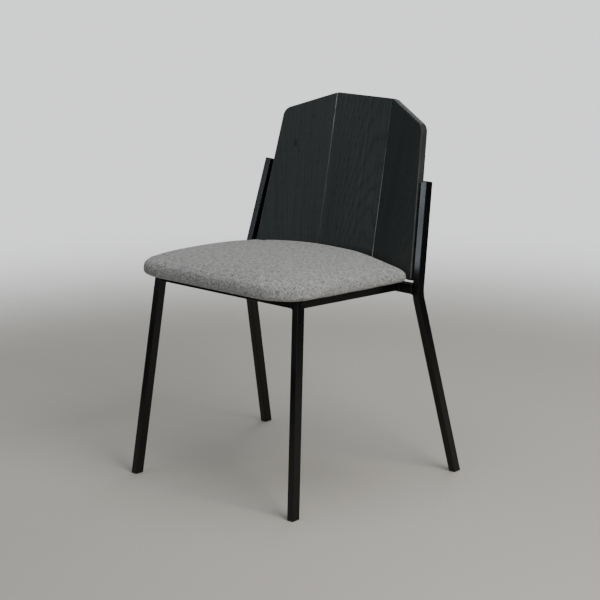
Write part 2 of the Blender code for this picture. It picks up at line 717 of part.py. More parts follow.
def make_spline(side_name, side):
    birch = material("back_spline_%s_birch" % side_name, BIRCH_COLOUR, 0.6)
    box("back_spline_" + side_name, *spline_box(side, 0.0), mitre_matrix(side), PARTS, birch)


# ---------------------------------------------------------------- back tabs
def back_tab_matrix(side, height):
    """On the back face of a wing near its outer edge. X runs out along it, Z points forward."""
    share = (height - BACK_BOTTOM) / (WING_TOP - BACK_BOTTOM)
    reach = WING_LOW_REACH + (WING_TOP_REACH - WING_LOW_REACH) * share
    across, _, front = wing_axes(side)
    origin = wing_point(side, reach, height) - front * (BACK_THICKNESS + GAP)
    return frame_matrix(origin, across * side, front)


def back_screw_places(side):
    """Names and placements of the screws, seated on the tabs' back faces."""
    places = []
    for row_name, height in zip(("low", "high"), BACK_TAB_HEIGHTS):
        tab = back_tab_matrix(side, height)
        for half_name, offset in (("a", -BACK_SCREW_SPREAD / 2), ("b", BACK_SCREW_SPREAD / 2)):
            seat_of_head = Vector((-BACK_SCREW_INSET, offset, -BACK_TAB_SIZE[2] - GAP))
            places.append(("%s_%s" % (row_name, half_name),
                           tab @ Matrix.Translation(seat_of_head)))
    return places


def make_back_tabs(side_name, side):
    """Flat steel tabs welded to a post's inner face, reaching in behind the wing."""
    for row_name, height in zip(("low", "high"), BACK_TAB_HEIGHTS):
        name = "back_tab_%s_%s" % (row_name, side_name)
        steel = material(name + "_steel", STEEL_COLOUR, 0.4, 0.3)
        length, tall, thick = BACK_TAB_SIZE
        tab = box(name, (BACK_TAB_OVERHANG - length, -tall / 2, -thick),
                  (BACK_TAB_OVERHANG, tall / 2, 0), back_tab_matrix(side, height), PARTS, steel)
        combine(tab, REAR_LEG_SPACE[side_name])
        for _, screw_matrix in back_screw_places(side):
            hole = cylinder("tab_hole", SCREW_HOLE, DRILL_START, BACK_SCREW_LENGTH,
                            screw_matrix, CUTTERS)
            combine(tab, hole)
    for screw_name, screw_matrix in back_screw_places(side):
        make_screw("back_screw_%s_%s" % (screw_name, side_name), BACK_SCREW_LENGTH - 2 * GAP,
                   screw_matrix)


# ---------------------------------------------------------------- the whole chair
def main():
    seat = seat_matrix()
    make_front_rail()
    make_rear_rail()
    for side_name, side in SIDES:
        make_front_leg(side_name, side)
        make_rear_leg(side_name, side)
        make_side_rail(side_name, side)
        make_glide("glide_front_" + side_name, front_leg_matrix(side))
        make_glide("glide_rear_" + side_name, rear_foot_matrix(side))
        make_post_cap(side_name, side)
        make_back_wing(side_name, side)
        make_back_tabs(side_name, side)
        make_spline(side_name, side)
    make_back_middle()
    make_seat_tabs(seat)
    make_seat_board(seat)
    make_seat_foam(seat)
    make_seat_cover(seat)
    make_dust_cover(seat)
    bpy.context.view_layer.update()


main()
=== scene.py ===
# %% [markdown]
# # A dining chair of steel tube, folded timber and felted cloth
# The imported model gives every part's true place and size as plain faceted solids. This lesson
# dresses it: each visible part becomes a smooth surface worked out with numpy, and each finish
# becomes a material made of nodes. We could sculpt the parts by hand, but a formula keeps
# them exactly where the model says and can be read again next year.

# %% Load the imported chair
import math

import bmesh
import bpy
import numpy as np
from mathutils import Matrix, Vector


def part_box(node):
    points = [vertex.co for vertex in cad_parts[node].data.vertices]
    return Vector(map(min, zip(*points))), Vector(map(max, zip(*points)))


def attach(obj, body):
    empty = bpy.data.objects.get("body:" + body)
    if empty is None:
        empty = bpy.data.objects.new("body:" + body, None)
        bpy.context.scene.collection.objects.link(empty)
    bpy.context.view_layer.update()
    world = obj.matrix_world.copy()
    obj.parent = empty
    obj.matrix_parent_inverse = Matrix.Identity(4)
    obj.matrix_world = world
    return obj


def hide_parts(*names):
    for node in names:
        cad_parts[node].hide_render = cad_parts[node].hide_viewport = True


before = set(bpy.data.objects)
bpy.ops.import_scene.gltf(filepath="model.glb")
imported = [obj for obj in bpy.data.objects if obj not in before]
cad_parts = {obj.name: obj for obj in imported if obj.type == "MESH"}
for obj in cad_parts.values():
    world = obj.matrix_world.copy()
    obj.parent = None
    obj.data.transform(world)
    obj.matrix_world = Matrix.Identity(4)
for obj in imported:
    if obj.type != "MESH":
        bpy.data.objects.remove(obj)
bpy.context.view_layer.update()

# %% [markdown]
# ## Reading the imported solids
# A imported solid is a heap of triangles. To follow it we need its faces as arrays, and two
# facts that hide in them: the axis of a tube and the plane of a board. The axis could be typed
# in, but every side face of a straight tube has a normal square to it, so the axis is the
# direction in which the area-weighted normals vary least. That is one small eigenvalue problem.


# %% Faces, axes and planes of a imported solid
UP = np.array([0.0, 0.0, 1.0])
ACROSS = np.array([1.0, 0.0, 0.0])
SIDE_FACE = 0.1
SAME_PLANE = 0.0003
SIDES = (("left", -1), ("right", 1))


def rows_of(items, field, width=3):
    """One property of many mesh items at once, as an array with a row for each item."""
    values = np.empty(len(items) * width, np.float32)
    items.foreach_get(field, values)
    return values.reshape(-1, width).astype(float)


def points_of(mesh):
    return rows_of(mesh.vertices, "co")


def cad_points(node):
    return points_of(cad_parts[node].data)


def cad_faces(node):
    """Centres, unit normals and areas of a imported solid's triangles, one row for each."""
    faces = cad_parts[node].data.polygons
    return rows_of(faces, "center"), rows_of(faces, "normal"), rows_of(faces, "area", 1)[:, 0]


def unit(vectors):
    """Each vector divided by its own length."""
    vectors = np.asarray(vectors, float)
    return vectors / np.linalg.norm(vectors, axis=-1, keepdims=True)


def tube_line(node, low=-1.0, high=2.0):
    """A point on a tube's axis, and its direction, from the faces whose height is in a range.

    The direction is the eigenvector of sum(area * normal * normal') with the least eigenvalue.
    """
    centres, normals, areas = cad_faces(node)
    keep = (centres[:, 2] > low) & (centres[:, 2] < high)
    centres, normals, areas = centres[keep], normals[keep], areas[keep]
    direction = np.linalg.eigh((normals * areas[:, None]).T @ normals)[1][:, 0]
    side = np.abs(normals @ direction) < SIDE_FACE
    point = np.average(centres[side], axis=0, weights=areas[side])
    return point, direction * np.sign(direction[np.argmax(np.abs(direction))])


def facing(node, towards):
    """Centre and normal of the largest outer face of a node that looks a given way."""
    centres, normals, areas = cad_faces(node)
    looks = normals @ unit(towards) > 0.5
    normal = normals[np.argmax(areas * looks)]
    flat = normals @ normal > 0.9999
    normal = unit((normals[flat] * areas[flat, None]).sum(0))
    offset = centres @ normal
    flat &= offset > offset[flat].max() - SAME_PLANE
    return np.average(centres[flat], axis=0, weights=areas[flat]), normal


seat_down = facing("seat_board", -UP)[1]
print("seat frame falls back by %.2f degrees" % math.degrees(math.asin(-seat_down[1])))

# %% [markdown]
# ## One helper that makes every piece
# A piece is a mesh, a finish, the body that it moves with and the imported parts that it stands
# for. Points and faces arrive as whole arrays. The normals are recalculated once, because a
# grid that runs the other way round is inside out.


# %% Angles, chains and grids of faces
def full_turn(steps):
    """Angles once round: the last is one step short of the first."""
    return np.linspace(0, 2 * math.pi, steps, endpoint=False)


def quarter_turn(steps):
    return np.linspace(0, math.pi / 2, steps + 1)


def round_the(turn):
    """Cosine and sine of each angle, side by side."""
    return np.stack([np.cos(turn), np.sin(turn)], axis=-1)


def walked(chain):
    """The distance walked from the first point of a chain to each of its points."""
    return np.concatenate([[0], np.cumsum(np.linalg.norm(np.diff(chain, axis=0), axis=1))])


def along_chain(stops, chain):
    """The places on a chain after walking the given distances."""
    return np.stack([np.interp(stops, walked(chain), column) for column in chain.T], axis=1)


def grid_faces(rows, columns, wrap_rows=False, wrap_columns=True):
    """Quads between neighbouring rows and columns of a grid whose points run row by row."""
    row = np.arange(rows if wrap_rows else rows - 1)[:, None]
    column = np.arange(columns if wrap_columns else columns - 1)[None, :]
    next_row = (row + 1) % rows
    next_column = (column + 1) % columns
    corners = [row * columns + column, row * columns + next_column,
               next_row * columns + next_column, next_row * columns + column]
    return np.stack(np.broadcast_arrays(*corners), axis=-1).reshape(-1, 4).tolist()


def capped_grid(rows, columns):
    """A closed form: a grid that wraps round, with one flat face at each end."""
    ends = [list(range(columns)), list(range((rows - 1) * columns, rows * columns))]
    return grid_faces(rows, columns) + ends


def joined(parts):
    """Several (points, faces) made one: each part's faces count on from the points before."""
    starts = np.cumsum([0] + [len(points) for points, _ in parts])
    faces = [[corner + int(start) for corner in face]
             for (_, part_faces), start in zip(parts, starts) for face in part_faces]
    return np.concatenate([points for points, _ in parts]), faces


# %% A new piece
def make_mesh(name, points, faces):
    mesh = bpy.data.meshes.new(name)
    mesh.from_pydata(np.asarray(points, float).tolist(), [], faces)
    shape = bmesh.new()
    shape.from_mesh(mesh)
    bmesh.ops.recalc_face_normals(shape, faces=shape.faces)
    shape.to_mesh(mesh)
    shape.free()
    mesh.shade_smooth()
    return mesh


def new_piece(name, points, faces, finish, slot, stands_for=()):
    piece = bpy.data.objects.new(name, make_mesh(name, points, faces))
    bpy.context.scene.collection.objects.link(piece)
    piece.data.materials.append(finish)
    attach(piece, "root")
    if stands_for:
        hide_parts(*stands_for)
    return piece


def set_uv(piece, uv, name="surface"):
    """One UV for each point, in metres, written to every face corner that uses the point."""
    mesh = piece.data
    corner_points = np.empty(len(mesh.loops), np.int32)
    mesh.loops.foreach_get("vertex_index", corner_points)
    layer = mesh.uv_layers.new(name=name)
    layer.data.foreach_set("uv", np.asarray(uv, np.float32)[corner_points].ravel())


def set_value(piece, name, values):
    attribute = piece.data.attributes.new(name, "FLOAT", "POINT")
    attribute.data.foreach_set("value", np.asarray(values, np.float32))


# %% [markdown]
# ## Building materials from nodes
# Every finish here is a Principled shader fed by a few textures. Writing out each node takes
# five lines, so a tiny helper adds a node, sets its choices and joins its inputs in one call.
# Constant values stay on the shader's own sockets, where an exporter can find them.


# %% Material helpers
class Finish:
    """A material and its node tree, with short calls to add nodes."""

    def __init__(self, name, **sockets):
        self.material = bpy.data.materials.new(name)
        self.material.use_nodes = True
        self.tree = self.material.node_tree
        self.shader = self.tree.nodes["Principled BSDF"]
        for socket, value in sockets.items():
            self.shader.inputs[socket.replace("_", " ")].default_value = value

    def add(self, kind, inputs=(), **choices):
        """A new node. An input is a constant, or another node's output to join to it."""
        made = self.tree.nodes.new("ShaderNode" + kind)
        for choice, value in choices.items():
            setattr(made, choice, value)
        for socket, value in dict(inputs).items():
            if isinstance(value, bpy.types.NodeSocket):
                self.tree.links.new(value, made.inputs[socket])
            else:
                made.inputs[socket].default_value = value
        return made

    def coordinates(self, scale=(1, 1, 1)):
        place = self.add("TexCoord").outputs["Object"]
        return self.add("Mapping", {"Vector": place, "Scale": scale}).outputs["Vector"]

    def noise(self, vector, scale, detail=2.0, roughness=0.5):
        made = self.add("TexNoise", {"Vector": vector, "Scale": scale, "Detail": detail,
                                     "Roughness": roughness})
        return made.outputs["Fac"]

    def math(self, operation, first, second=0.0, third=0.0):
        made = self.add("Math", {0: first, 1: second, 2: third}, operation=operation)
        return made.outputs[0]

    def total(self, *shares):
        """A weighted sum of (value, weight) pairs."""
        summed = 0.0
        for value, weight in shares:
            summed = self.math("MULTIPLY_ADD", value, weight, summed)
        return summed

    def vector(self, operation, first, second=(0, 0, 0)):
        made = self.add("VectorMath", {0: first, 1: second}, operation=operation)
        return made.outputs["Value" if operation == "LENGTH" else "Vector"]

    def spread(self, value, from_low, from_high, to_low=0.0, to_high=1.0):
        made = self.add("MapRange", {"Value": value, "From Min": from_low, "From Max": from_high,
                                     "To Min": to_low, "To Max": to_high})
        return made.outputs["Result"]

    def blend(self, share, first, second):
        """A colour between two: each is a colour or a node's output."""
        first, second = [(*colour, 1.0) if isinstance(colour, tuple) else colour
                         for colour in (first, second)]
        return self.add("Mix", {0: share, 6: first, 7: second}, data_type="RGBA").outputs[2]

    def choose(self, share, first, second):
        """A number between two."""
        return self.add("Mix", {0: share, 2: first, 3: second}).outputs[0]

    def bump(self, height, distance, strength):
        inputs = {"Height": height, "Distance": distance, "Strength": strength}
        return self.add("Bump", inputs).outputs["Normal"]

    def wire(self, **joins):
        for socket, output in joins.items():
            self.tree.links.new(output, self.shader.inputs[socket.replace("_", " ")])
        return self.material


# %% [markdown]
# ## Powder-coated steel
# The frame is baked in black powder. Powder flows out into a faintly pebbled skin, like the
# peel of an orange, glossy enough to draw a thin line of light along each rounded arris. A
# smooth black plastic would look wet, so the pebbles go into the bump, and a slower noise
# moves the roughness. Two sizes of pebble keep it from looking like one pattern.


# %% Black powder coat
def make_powder_coat():
    finish = Finish("black_powder_coat", Specular_IOR_Level=0.26)
    place = finish.coordinates()
    pebbles = finish.noise(place, 900.0, 1.5)
    ripple = finish.noise(place, 260.0, 1.0)
    patches = finish.noise(place, 14.0, 3.0, 0.6)
    specks = finish.spread(finish.noise(place, 2600.0, 0.0), 0.68, 0.80)
    colour = finish.blend(patches, (0.0026, 0.0027, 0.0029), (0.0046, 0.0046, 0.0047))
    colour = finish.blend(finish.math("MULTIPLY", specks, 0.35), colour, (0.020, 0.0205, 0.021))
    height = finish.math("MULTIPLY_ADD", ripple, 0.7, pebbles)
    return finish.wire(Base_Color=colour,
                       Roughness=finish.spread(patches, 0.3, 0.7, 0.18, 0.27),
                       Normal=finish.bump(height, 0.00006, 0.55))


POWDER_COAT = make_powder_coat()

# %% [markdown]
# ## Tubes as a section carried along a path
# A rectangular tube is one rounded section swept along its axis. Blender's curve bevel could
# do it, but it can't put one more ring just inside each flat. Those extra points matter: they
# keep the wide faces dead flat in smooth shading, so that light gathers only on the arris.

# %% The rounded section
TUBE_WIDTH = 0.015
TUBE_DEPTH = 0.020
TUBE_RADIUS = 0.0011
FLAT_EASE = 0.0003


def rounded_section(width, depth, radius=TUBE_RADIUS, steps=6):
    """A rounded rectangle, anticlockwise: four quarter circles of the radius, each about its
    own centre, with one extra point FLAT_EASE beyond either end of every quarter."""
    turns = np.arange(4)[:, None] * math.pi / 2 + quarter_turn(steps)
    signs = np.array([[1, 1], [-1, 1], [-1, -1], [1, -1]])
    centres = signs * [width / 2 - radius, depth / 2 - radius]
    arcs = centres[:, None, :] + radius * round_the(turns)
    before = arcs[:, 0] - FLAT_EASE * round_the(turns[:, 0] + math.pi / 2)
    after = arcs[:, -1] + FLAT_EASE * round_the(turns[:, -1] + math.pi / 2)
    return np.concatenate([before[:, None], arcs, after[:, None]], axis=1).reshape(-1, 2)


def carried(section, origins, across, ahead):
    """The section's x lies along `across` and its y along `ahead`, at each origin in turn."""
    origins, across, ahead = [np.atleast_2d(rows)[:, None, :] for rows in (origins, across, ahead)]
    return (origins + section[:, :1] * across + section[:, 1:] * ahead).reshape(-1, 3)


def cut_to_plane(points, axis, plane_point, plane_normal):
    """Points slid along the axis until they lie in the plane."""
    gap = (np.asarray(plane_point) - points) @ plane_normal
    return points + np.outer(gap / (np.asarray(axis) @ plane_normal), axis)


leg_section = rounded_section(TUBE_WIDTH, TUBE_DEPTH)
print("points round a tube:", len(leg_section))

# %% [markdown]
# A straight tube needs only its two ends, each slid along the axis onto the plane that cuts it:
# the glide under a leg, the underside of the seat, or the face of the tube it is welded to.


# %% Straight tubes
def straight_tube(name, section, point, axis, across, start_plane, end_plane, stands_for):
    """Two cut rings, and a ring a hair inside each so that the ends shade crisply."""
    across = unit(across - (across @ axis) * axis)
    ring = carried(section, point, across, np.cross(axis, across))
    start = cut_to_plane(ring, axis, *start_plane)
    end = cut_to_plane(ring, axis, *end_plane)
    points = np.concatenate([start, start + axis * FLAT_EASE, end - axis * FLAT_EASE, end])
    new_piece(name, points, capped_grid(4, len(section)), POWDER_COAT, "frame_steel", stands_for)
    print("%s: %.0f mm" % (name, np.linalg.norm(end.mean(0) - start.mean(0)) * 1000))


leg_foot = ((0.0, 0.0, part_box("front_leg_right")[0].z), UP)
seat_plane = facing("rear_rail", UP)
rail_top_point, rail_top_normal = seat_plane
for side_name, _ in SIDES:
    node = "front_leg_" + side_name
    leg_point, leg_axis = tube_line(node)
    straight_tube("leg_tube_front_" + side_name, leg_section, leg_point, leg_axis,
                  ACROSS, leg_foot, seat_plane, (node,))

# %% [markdown]
# The rails run level with one another in the plane of the seat. Each one stops on the face of
# the tube it meets, so its end plane is that face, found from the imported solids.

# %% Rails
RAIL_WIDTH = 0.015
seat_back = unit(np.cross(rail_top_normal, ACROSS))


def measured_height(node):
    return float(np.ptp(cad_points(node) @ rail_top_normal))


def measured_width(node, direction):
    return float(np.ptp(cad_points(node) @ direction))


front_height = measured_height("front_rail")
front_width = measured_width("front_rail", seat_back)
front_point = tube_line("front_rail")[0]
leg_faces = {name: facing("front_leg_" + name, (-side, 0, 0)) for name, side in SIDES}
straight_tube("rail_tube_front", rounded_section(front_width, front_height), front_point,
              ACROSS, seat_back, leg_faces["left"], leg_faces["right"], ("front_rail",))

rear_height = measured_height("rear_rail")
rear_point = tube_line("rear_rail")[0]
print("rails are %.1f and %.1f mm high" % (front_height * 1000, rear_height * 1000))

# %% [markdown]
# ## The bent leg and post
# Each rear leg and its post are one tube, bent over a former. Its path is a straight run, an
# arc that touches both runs, and another straight run. A spline would bulge at the bend, so we
# use the true arc: its centre lies on the line that halves the angle between the two runs.

# %% Path of a bent tube
BEND_RADIUS = 0.060
BEND_STEPS = 24


def line_meeting(point_a, along_a, point_b, along_b):
    """The point nearest to two lines: solve a + s*u = b + t*v in the least-squares sense."""
    system = np.stack([along_a, -along_b], axis=1)
    share = np.linalg.lstsq(system, point_b - point_a, rcond=None)[0]
    return (point_a + share[0] * along_a + point_b + share[1] * along_b) / 2


def bent_path(bend, down, up, radius=BEND_RADIUS, steps=BEND_STEPS):
    """Points and directions on the arc that rounds a bend between two unit directions.

    The arc starts radius / tan(half the angle) from the bend, and its centre is
    radius / sin(half the angle) from it, along the halving line.
    """
    half = math.acos(float(down @ up)) / 2
    inward = unit(down + up)
    centre = bend + inward * radius / math.sin(half)
    start = bend + down * radius / math.tan(half) - centre
    end = bend + up * radius / math.tan(half) - centre
    sweep = math.acos(float(unit(start) @ unit(end)))
    share = np.linspace(0, 1, steps + 1)[:, None]
    spokes = (np.sin((1 - share) * sweep) * start + np.sin(share * sweep) * end) / math.sin(sweep)
    plane_normal = unit(np.cross(start, end))
    directions = np.cross(plane_normal, spokes) / radius
    return centre + spokes, directions


# %% Bent leg tubes
CAP_THICKNESS = 0.002
LEG_HEIGHTS = (0.0, 0.33)
POST_HEIGHTS = (0.45, 0.70)
rear_legs = {}
for side_name, side in SIDES:
    node = "rear_leg_post_" + side_name
    low_point, low_axis = tube_line(node, *LEG_HEIGHTS)
    top_point, top_axis = tube_line(node, *POST_HEIGHTS)
    bend = line_meeting(low_point, low_axis, top_point, top_axis)
    arc, directions = bent_path(bend, -low_axis, top_axis)
    across = unit(np.cross(low_axis, top_axis))
    across *= np.sign(across[0])
    top_reach = float(((cad_points(node) - bend) @ top_axis).max())
    origins = np.concatenate([[low_point], arc, [bend + top_axis * (top_reach - FLAT_EASE)],
                              [bend + top_axis * top_reach]])
    headings = np.concatenate([[low_axis], directions, [top_axis], [top_axis]])
    points = carried(leg_section, origins, across, np.cross(headings, across))
    count = len(leg_section)
    foot_ring = cut_to_plane(points[:count], low_axis, *leg_foot)
    points = np.concatenate([foot_ring, foot_ring + low_axis * FLAT_EASE, points[count:]])
    new_piece("leg_tube_rear_" + side_name, points, capped_grid(len(points) // count, count),
              POWDER_COAT, "frame_steel", (node,))
    rear_legs[side_name] = {"bend": bend, "up": top_axis, "leg_axis": low_axis,
                            "across": across, "top": bend + top_axis * top_reach,
                            "inner_face": (bend - across * side * TUBE_WIDTH / 2, across)}
    angle = 180 - math.degrees(math.acos(float(-low_axis @ top_axis)))
    print("%s post bends by %.1f degrees, %d points" % (side_name, angle, len(points)))

# %% [markdown]
# The rear rail crosses under the back from post to post. Each end meets the inner face of a
# post, so the plane of that face is the post's own side, half a tube's width in from its axis.

# %% Rear and side rails
rear_width = measured_width("rear_rail", seat_back)
rear_ends = {name: rear_legs[name]["inner_face"] for name, _ in SIDES}
straight_tube("rail_tube_rear", rounded_section(rear_width, rear_height), rear_point, ACROSS,
              seat_back, rear_ends["left"], rear_ends["right"], ("rear_rail",))
front_rail_back = facing("front_rail", (0, 1, 0))
rear_rail_front = facing("rear_rail", (0, -1, 0))
for side_name, _ in SIDES:
    node = "side_rail_" + side_name
    straight_tube("rail_tube_" + side_name, rounded_section(RAIL_WIDTH, measured_height(node)),
                  tube_line(node)[0], seat_back, ACROSS, front_rail_back, rear_rail_front,
                  (node,))

# %% [markdown]
# ## Weld beads
# Where tubes meet, a bead of weld runs round the joint: a soft rope of metal laid in small
# overlapping puddles and then powder coated. It is a ring whose radius rises and falls once
# for each puddle. On top it would lift the seat, so a real maker grinds it flush there, and
# here every point above the seat plane is pressed down onto it.

# %% Beads round the joints
BEAD_RADIUS = 0.0017
BEAD_SINK = 0.0004
PUDDLE = 0.0024
PUDDLE_HEIGHT = 0.16


def bead(outline, normal, sides=10, spacing=0.0005):
    """A ring of weld round a closed outline in space.

    The outline is walked in even steps. At each step a circle stands square to the walk, with
    radius BEAD_RADIUS * (1 + PUDDLE_HEIGHT * |sin|), one arch of the sine for each puddle.
    """
    loop = np.concatenate([outline, outline[:1]])
    length = walked(loop)[-1]
    steps = int(length / spacing)
    share = np.arange(steps) / steps
    middle = along_chain(share * length, loop)
    outward = unit(np.cross(np.roll(middle, -1, axis=0) - np.roll(middle, 1, axis=0), normal))
    ripple = np.abs(np.sin(share * round(length / PUDDLE) * math.pi))
    circle = BEAD_RADIUS * (1 + PUDDLE_HEIGHT * ripple)[:, None, None] * round_the(full_turn(sides))
    points = middle[:, None, :] + circle[..., :1] * outward[:, None, :] + circle[..., 1:] * normal
    return points.reshape(-1, 3), grid_faces(steps, sides, wrap_rows=True)


def flush_with_seat(points):
    """Points above the plane of the rails' tops come down onto it."""
    above = np.maximum((points - rail_top_point) @ rail_top_normal, 0)
    return points - np.outer(above, rail_top_normal)


def joint_bead(name, width, height, centre, axis, across, plane):
    """The bead round a rail's end: its outline, drawn in a little, slid onto the joint's face."""
    section = rounded_section(width - 2 * BEAD_SINK, height - 2 * BEAD_SINK, TUBE_RADIUS, 4)
    outline = carried(section, centre, across, np.cross(axis, across))
    outline = cut_to_plane(outline, axis, *plane)
    points, faces = bead(outline, plane[1])
    new_piece(name, flush_with_seat(points), faces, POWDER_COAT, "frame_steel")


for side_name, _ in SIDES:
    joint_bead("weld_front_rail_" + side_name, front_width, front_height, front_point,
               ACROSS, seat_back, leg_faces[side_name])
    joint_bead("weld_rear_rail_" + side_name, rear_width, rear_height, rear_point,
               ACROSS, seat_back, rear_ends[side_name])
    node = "side_rail_" + side_name
    for end_name, plane in (("front", front_rail_back), ("rear", rear_rail_front)):
        joint_bead("weld_side_rail_%s_%s" % (end_name, side_name), RAIL_WIDTH,
                   measured_height(node), tube_line(node)[0], seat_back, ACROSS, plane)

# %% [markdown]
# ## The folded back
# Three flat boards of black-stained ash make the back: a middle board and two wings, mitred
# along the folds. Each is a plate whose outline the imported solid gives. Rather than keep its
# faceted corners, we find the long straight edges, extend them until they cross, and round
# each crossing with a true arc. The arc's radius follows from how far before the crossing the
# straight edge ends: radius = that distance times tan(half the corner's angle).

# %% The outline of a flat solid
LONG_EDGE = 0.010
LOOK_ROUND = 2880
ON_THE_FACE = 0.00005
ON_THE_EDGE = 0.00004
LARGE_CORNER = 0.003


def flat_frame(node, towards):
    """A point on a node's largest face that way, and its axes: across, up and out of it."""
    point, out = facing(node, towards)
    level = np.cross(UP, out)
    across = unit(level) if np.linalg.norm(level) > 0.3 else ACROSS
    return point, across, np.cross(out, across), out


def outline_of(node, towards, least_radius):
    """Straight edges and corners of a flat solid's face, as lines n . p = d in its own plane.

    The outline is the chain of furthest points in every direction, so holes don't count.
    """
    point, across, up, out = flat_frame(node, towards)
    local = cad_points(node) - point
    flat = local[np.abs(local @ out) < ON_THE_FACE] @ np.stack([across, up], axis=1)
    furthest = np.argmax(flat @ round_the(full_turn(LOOK_ROUND)).T, axis=0)
    flat = flat[furthest[furthest != np.roll(furthest, 1)]]
    edge = np.roll(flat, -1, axis=0) - flat
    length = np.linalg.norm(edge, axis=1)
    angle = np.arctan2(-edge[:, 0], edge[:, 1])
    kind = np.unique(np.round(np.degrees(angle)).astype(int) % 360, return_inverse=True)[1]
    summed = np.stack([np.bincount(kind, weights=edge[:, 1]),
                       np.bincount(kind, weights=-edge[:, 0])])
    summed = summed[:, np.bincount(kind, weights=length) > LONG_EDGE]
    normals = round_the(np.sort(np.arctan2(summed[1], summed[0])))
    offsets = (flat @ normals.T).max(0)
    after = np.roll(normals, -1, axis=0)
    corners = np.stack([np.linalg.solve(np.stack([a, b]), [p, q]) for a, b, p, q
                        in zip(normals, after, offsets, np.roll(offsets, -1))])
    on_edge = np.abs(flat @ normals.T - offsets) < ON_THE_EDGE
    reach = np.linalg.norm(flat[:, None, :] - corners[None, :, :], axis=2)
    tangent = np.where(on_edge, reach, np.inf).min(0)
    half = (math.pi - np.arccos(np.clip((normals * after).sum(1), -1, 1))) / 2
    return normals, corners, np.maximum(tangent * np.tan(half), least_radius)


def rounded_outline(normals, corners, radii, edge_steps=14):
    """Points and outward normals round the outline: an arc at each corner, about the centre
    corner - radius * (n1 + n2) / (1 + n1 . n2), then points along the edge, closer at its ends."""
    points, outwards = [], []
    after = np.roll(normals, -1, axis=0)
    centres = corners - radii[:, None] * (normals + after) / (1 + (normals * after).sum(1))[:, None]
    start = np.arctan2(normals[:, 1], normals[:, 0])
    sweep = (np.roll(start, -1) - start) % (2 * math.pi)
    along = (1 - np.cos(np.linspace(0, math.pi, edge_steps + 1)[1:-1])) / 2
    for k in range(len(corners)):
        steps = 16 if radii[k] > LARGE_CORNER else 5
        outward = round_the(start[k] + sweep[k] * np.linspace(0, 1, steps + 1))
        arc = centres[k] + radii[k] * outward
        following = (k + 1) % len(corners)
        edge_end = centres[following] + radii[following] * after[k]
        edge = arc[-1] + along[:, None] * (edge_end - arc[-1])
        points += [arc, edge]
        outwards += [outward, np.tile(after[k], (len(edge), 1))]
    return np.concatenate(points), np.concatenate(outwards)


# %% [markdown]
# A plate then gets its thickness. Rings step in from the front face, round the arris in a
# quarter circle, run down the edge, and round the back arris the same way. Where two boards
# meet, the edge is not square: it leans by half the fold, so that the boards close on each
# other, and its arris is only eased. A value painted along the arris marks where hands and
# cloths wear the stain thin.

# %% Plates with rounded arrises
ARRIS = 0.0019
EASED_ARRIS = 0.0010
ARRIS_STEPS = 6
CORNER_SPARE = 0.0002
ARRIS_FADE = 0.006
EDGE_WEAR = 0.30
CAP_SHARES = np.array([0.02, 0.3, 0.6, 0.85])


def with_caps(rows):
    """Rows of rings, with rings that shrink to the middle added before the first and after
    the last: middle + share * (ring - middle)."""
    def rings(row, shares):
        middle = (row.max(0) + row.min(0)) / 2
        return middle + shares[:, None, None] * (row - middle)

    return np.concatenate([rings(rows[0], CAP_SHARES), rows, rings(rows[-1], CAP_SHARES[::-1])])


def plate(name, node, towards, finish, slot, arris=ARRIS, fold=()):
    """A flat solid remade with rounded edges. A fold is (direction in the plane, lean angle).

    At angle a round the arris the surface is arris * (1 - sin a) in from the outline and
    arris * (1 - cos a) below the face.
    """
    point, across, up, out = flat_frame(node, towards)
    least_radius = arris + FLAT_EASE + CORNER_SPARE
    outline, outward = rounded_outline(*outline_of(node, towards, least_radius))
    thickness = float(np.ptp(cad_points(node) @ out))
    round_over = np.full(len(outline), arris)
    lean = np.zeros((len(outline), 2))
    for direction, angle in fold:
        share = np.clip(outward @ direction, 0, 1)
        lean += share[:, None] * np.asarray(direction) * math.tan(angle)
        distance = (outline @ direction).max() - outline @ direction
        shrink = np.clip(distance / ARRIS_FADE, 0, 1)
        round_over = np.minimum(round_over, EASED_ARRIS + (arris - EASED_ARRIS) * shrink)
    angle = quarter_turn(ARRIS_STEPS)[:, None]
    inset = np.concatenate([round_over[None] + FLAT_EASE, round_over * (1 - np.sin(angle))])
    depth = np.concatenate([np.zeros((1, len(outline))), round_over * (1 - np.cos(angle))])
    wear = EDGE_WEAR + (1 - EDGE_WEAR) * (arris - round_over) / (arris - EASED_ARRIS)
    worn = np.concatenate([[[0.0]], np.sqrt(np.sin(2 * angle).clip(0))]) * wear
    inset, worn = [np.concatenate([rows, rows[::-1]]) for rows in (inset, worn)]
    depth = np.concatenate([depth, thickness - depth[::-1]])
    flat = outline - inset[..., None] * outward + depth[..., None] * lean
    unrolled = flat + depth[..., None] * outward
    rows = with_caps(np.concatenate([flat, depth[..., None], worn[..., None], unrolled], axis=2))
    points = point + rows[..., :3] @ np.stack([across, up, -out])
    piece = new_piece(name, points.reshape(-1, 3), capped_grid(*rows.shape[:2]), finish, slot,
                      (node,))
    set_uv(piece, rows[..., 4:].reshape(-1, 2))
    set_value(piece, "worn", rows[..., 3].ravel())
    size = np.ptp(outline, axis=0) * 1000
    print("%s: %.0f x %.0f x %.1f mm" % (name, *size, thickness * 1000))


# %% [markdown]
# ### Black-stained ash
# Ash is an open-grained wood: long straight fibres, pores like short scratches, and the tall
# arches that a slab cut across the rings shows. Stain turns it black but leaves that relief,
# so the grain is seen mostly as a change of gloss. The arches are curves of constant
# v + k * u * u in the board's own metres, bent by a slow noise. An image would repeat on all
# three boards; a formula lets each board have its own heart.

# %% Stained wood
ARCH_RISE = 0.070
ARCH_CURVE = 32.0
KNOT_RADIUS = 0.007
KNOT_SHAPE = (1.0, 0.55, 1.0)
WORN_THROUGH = 0.52


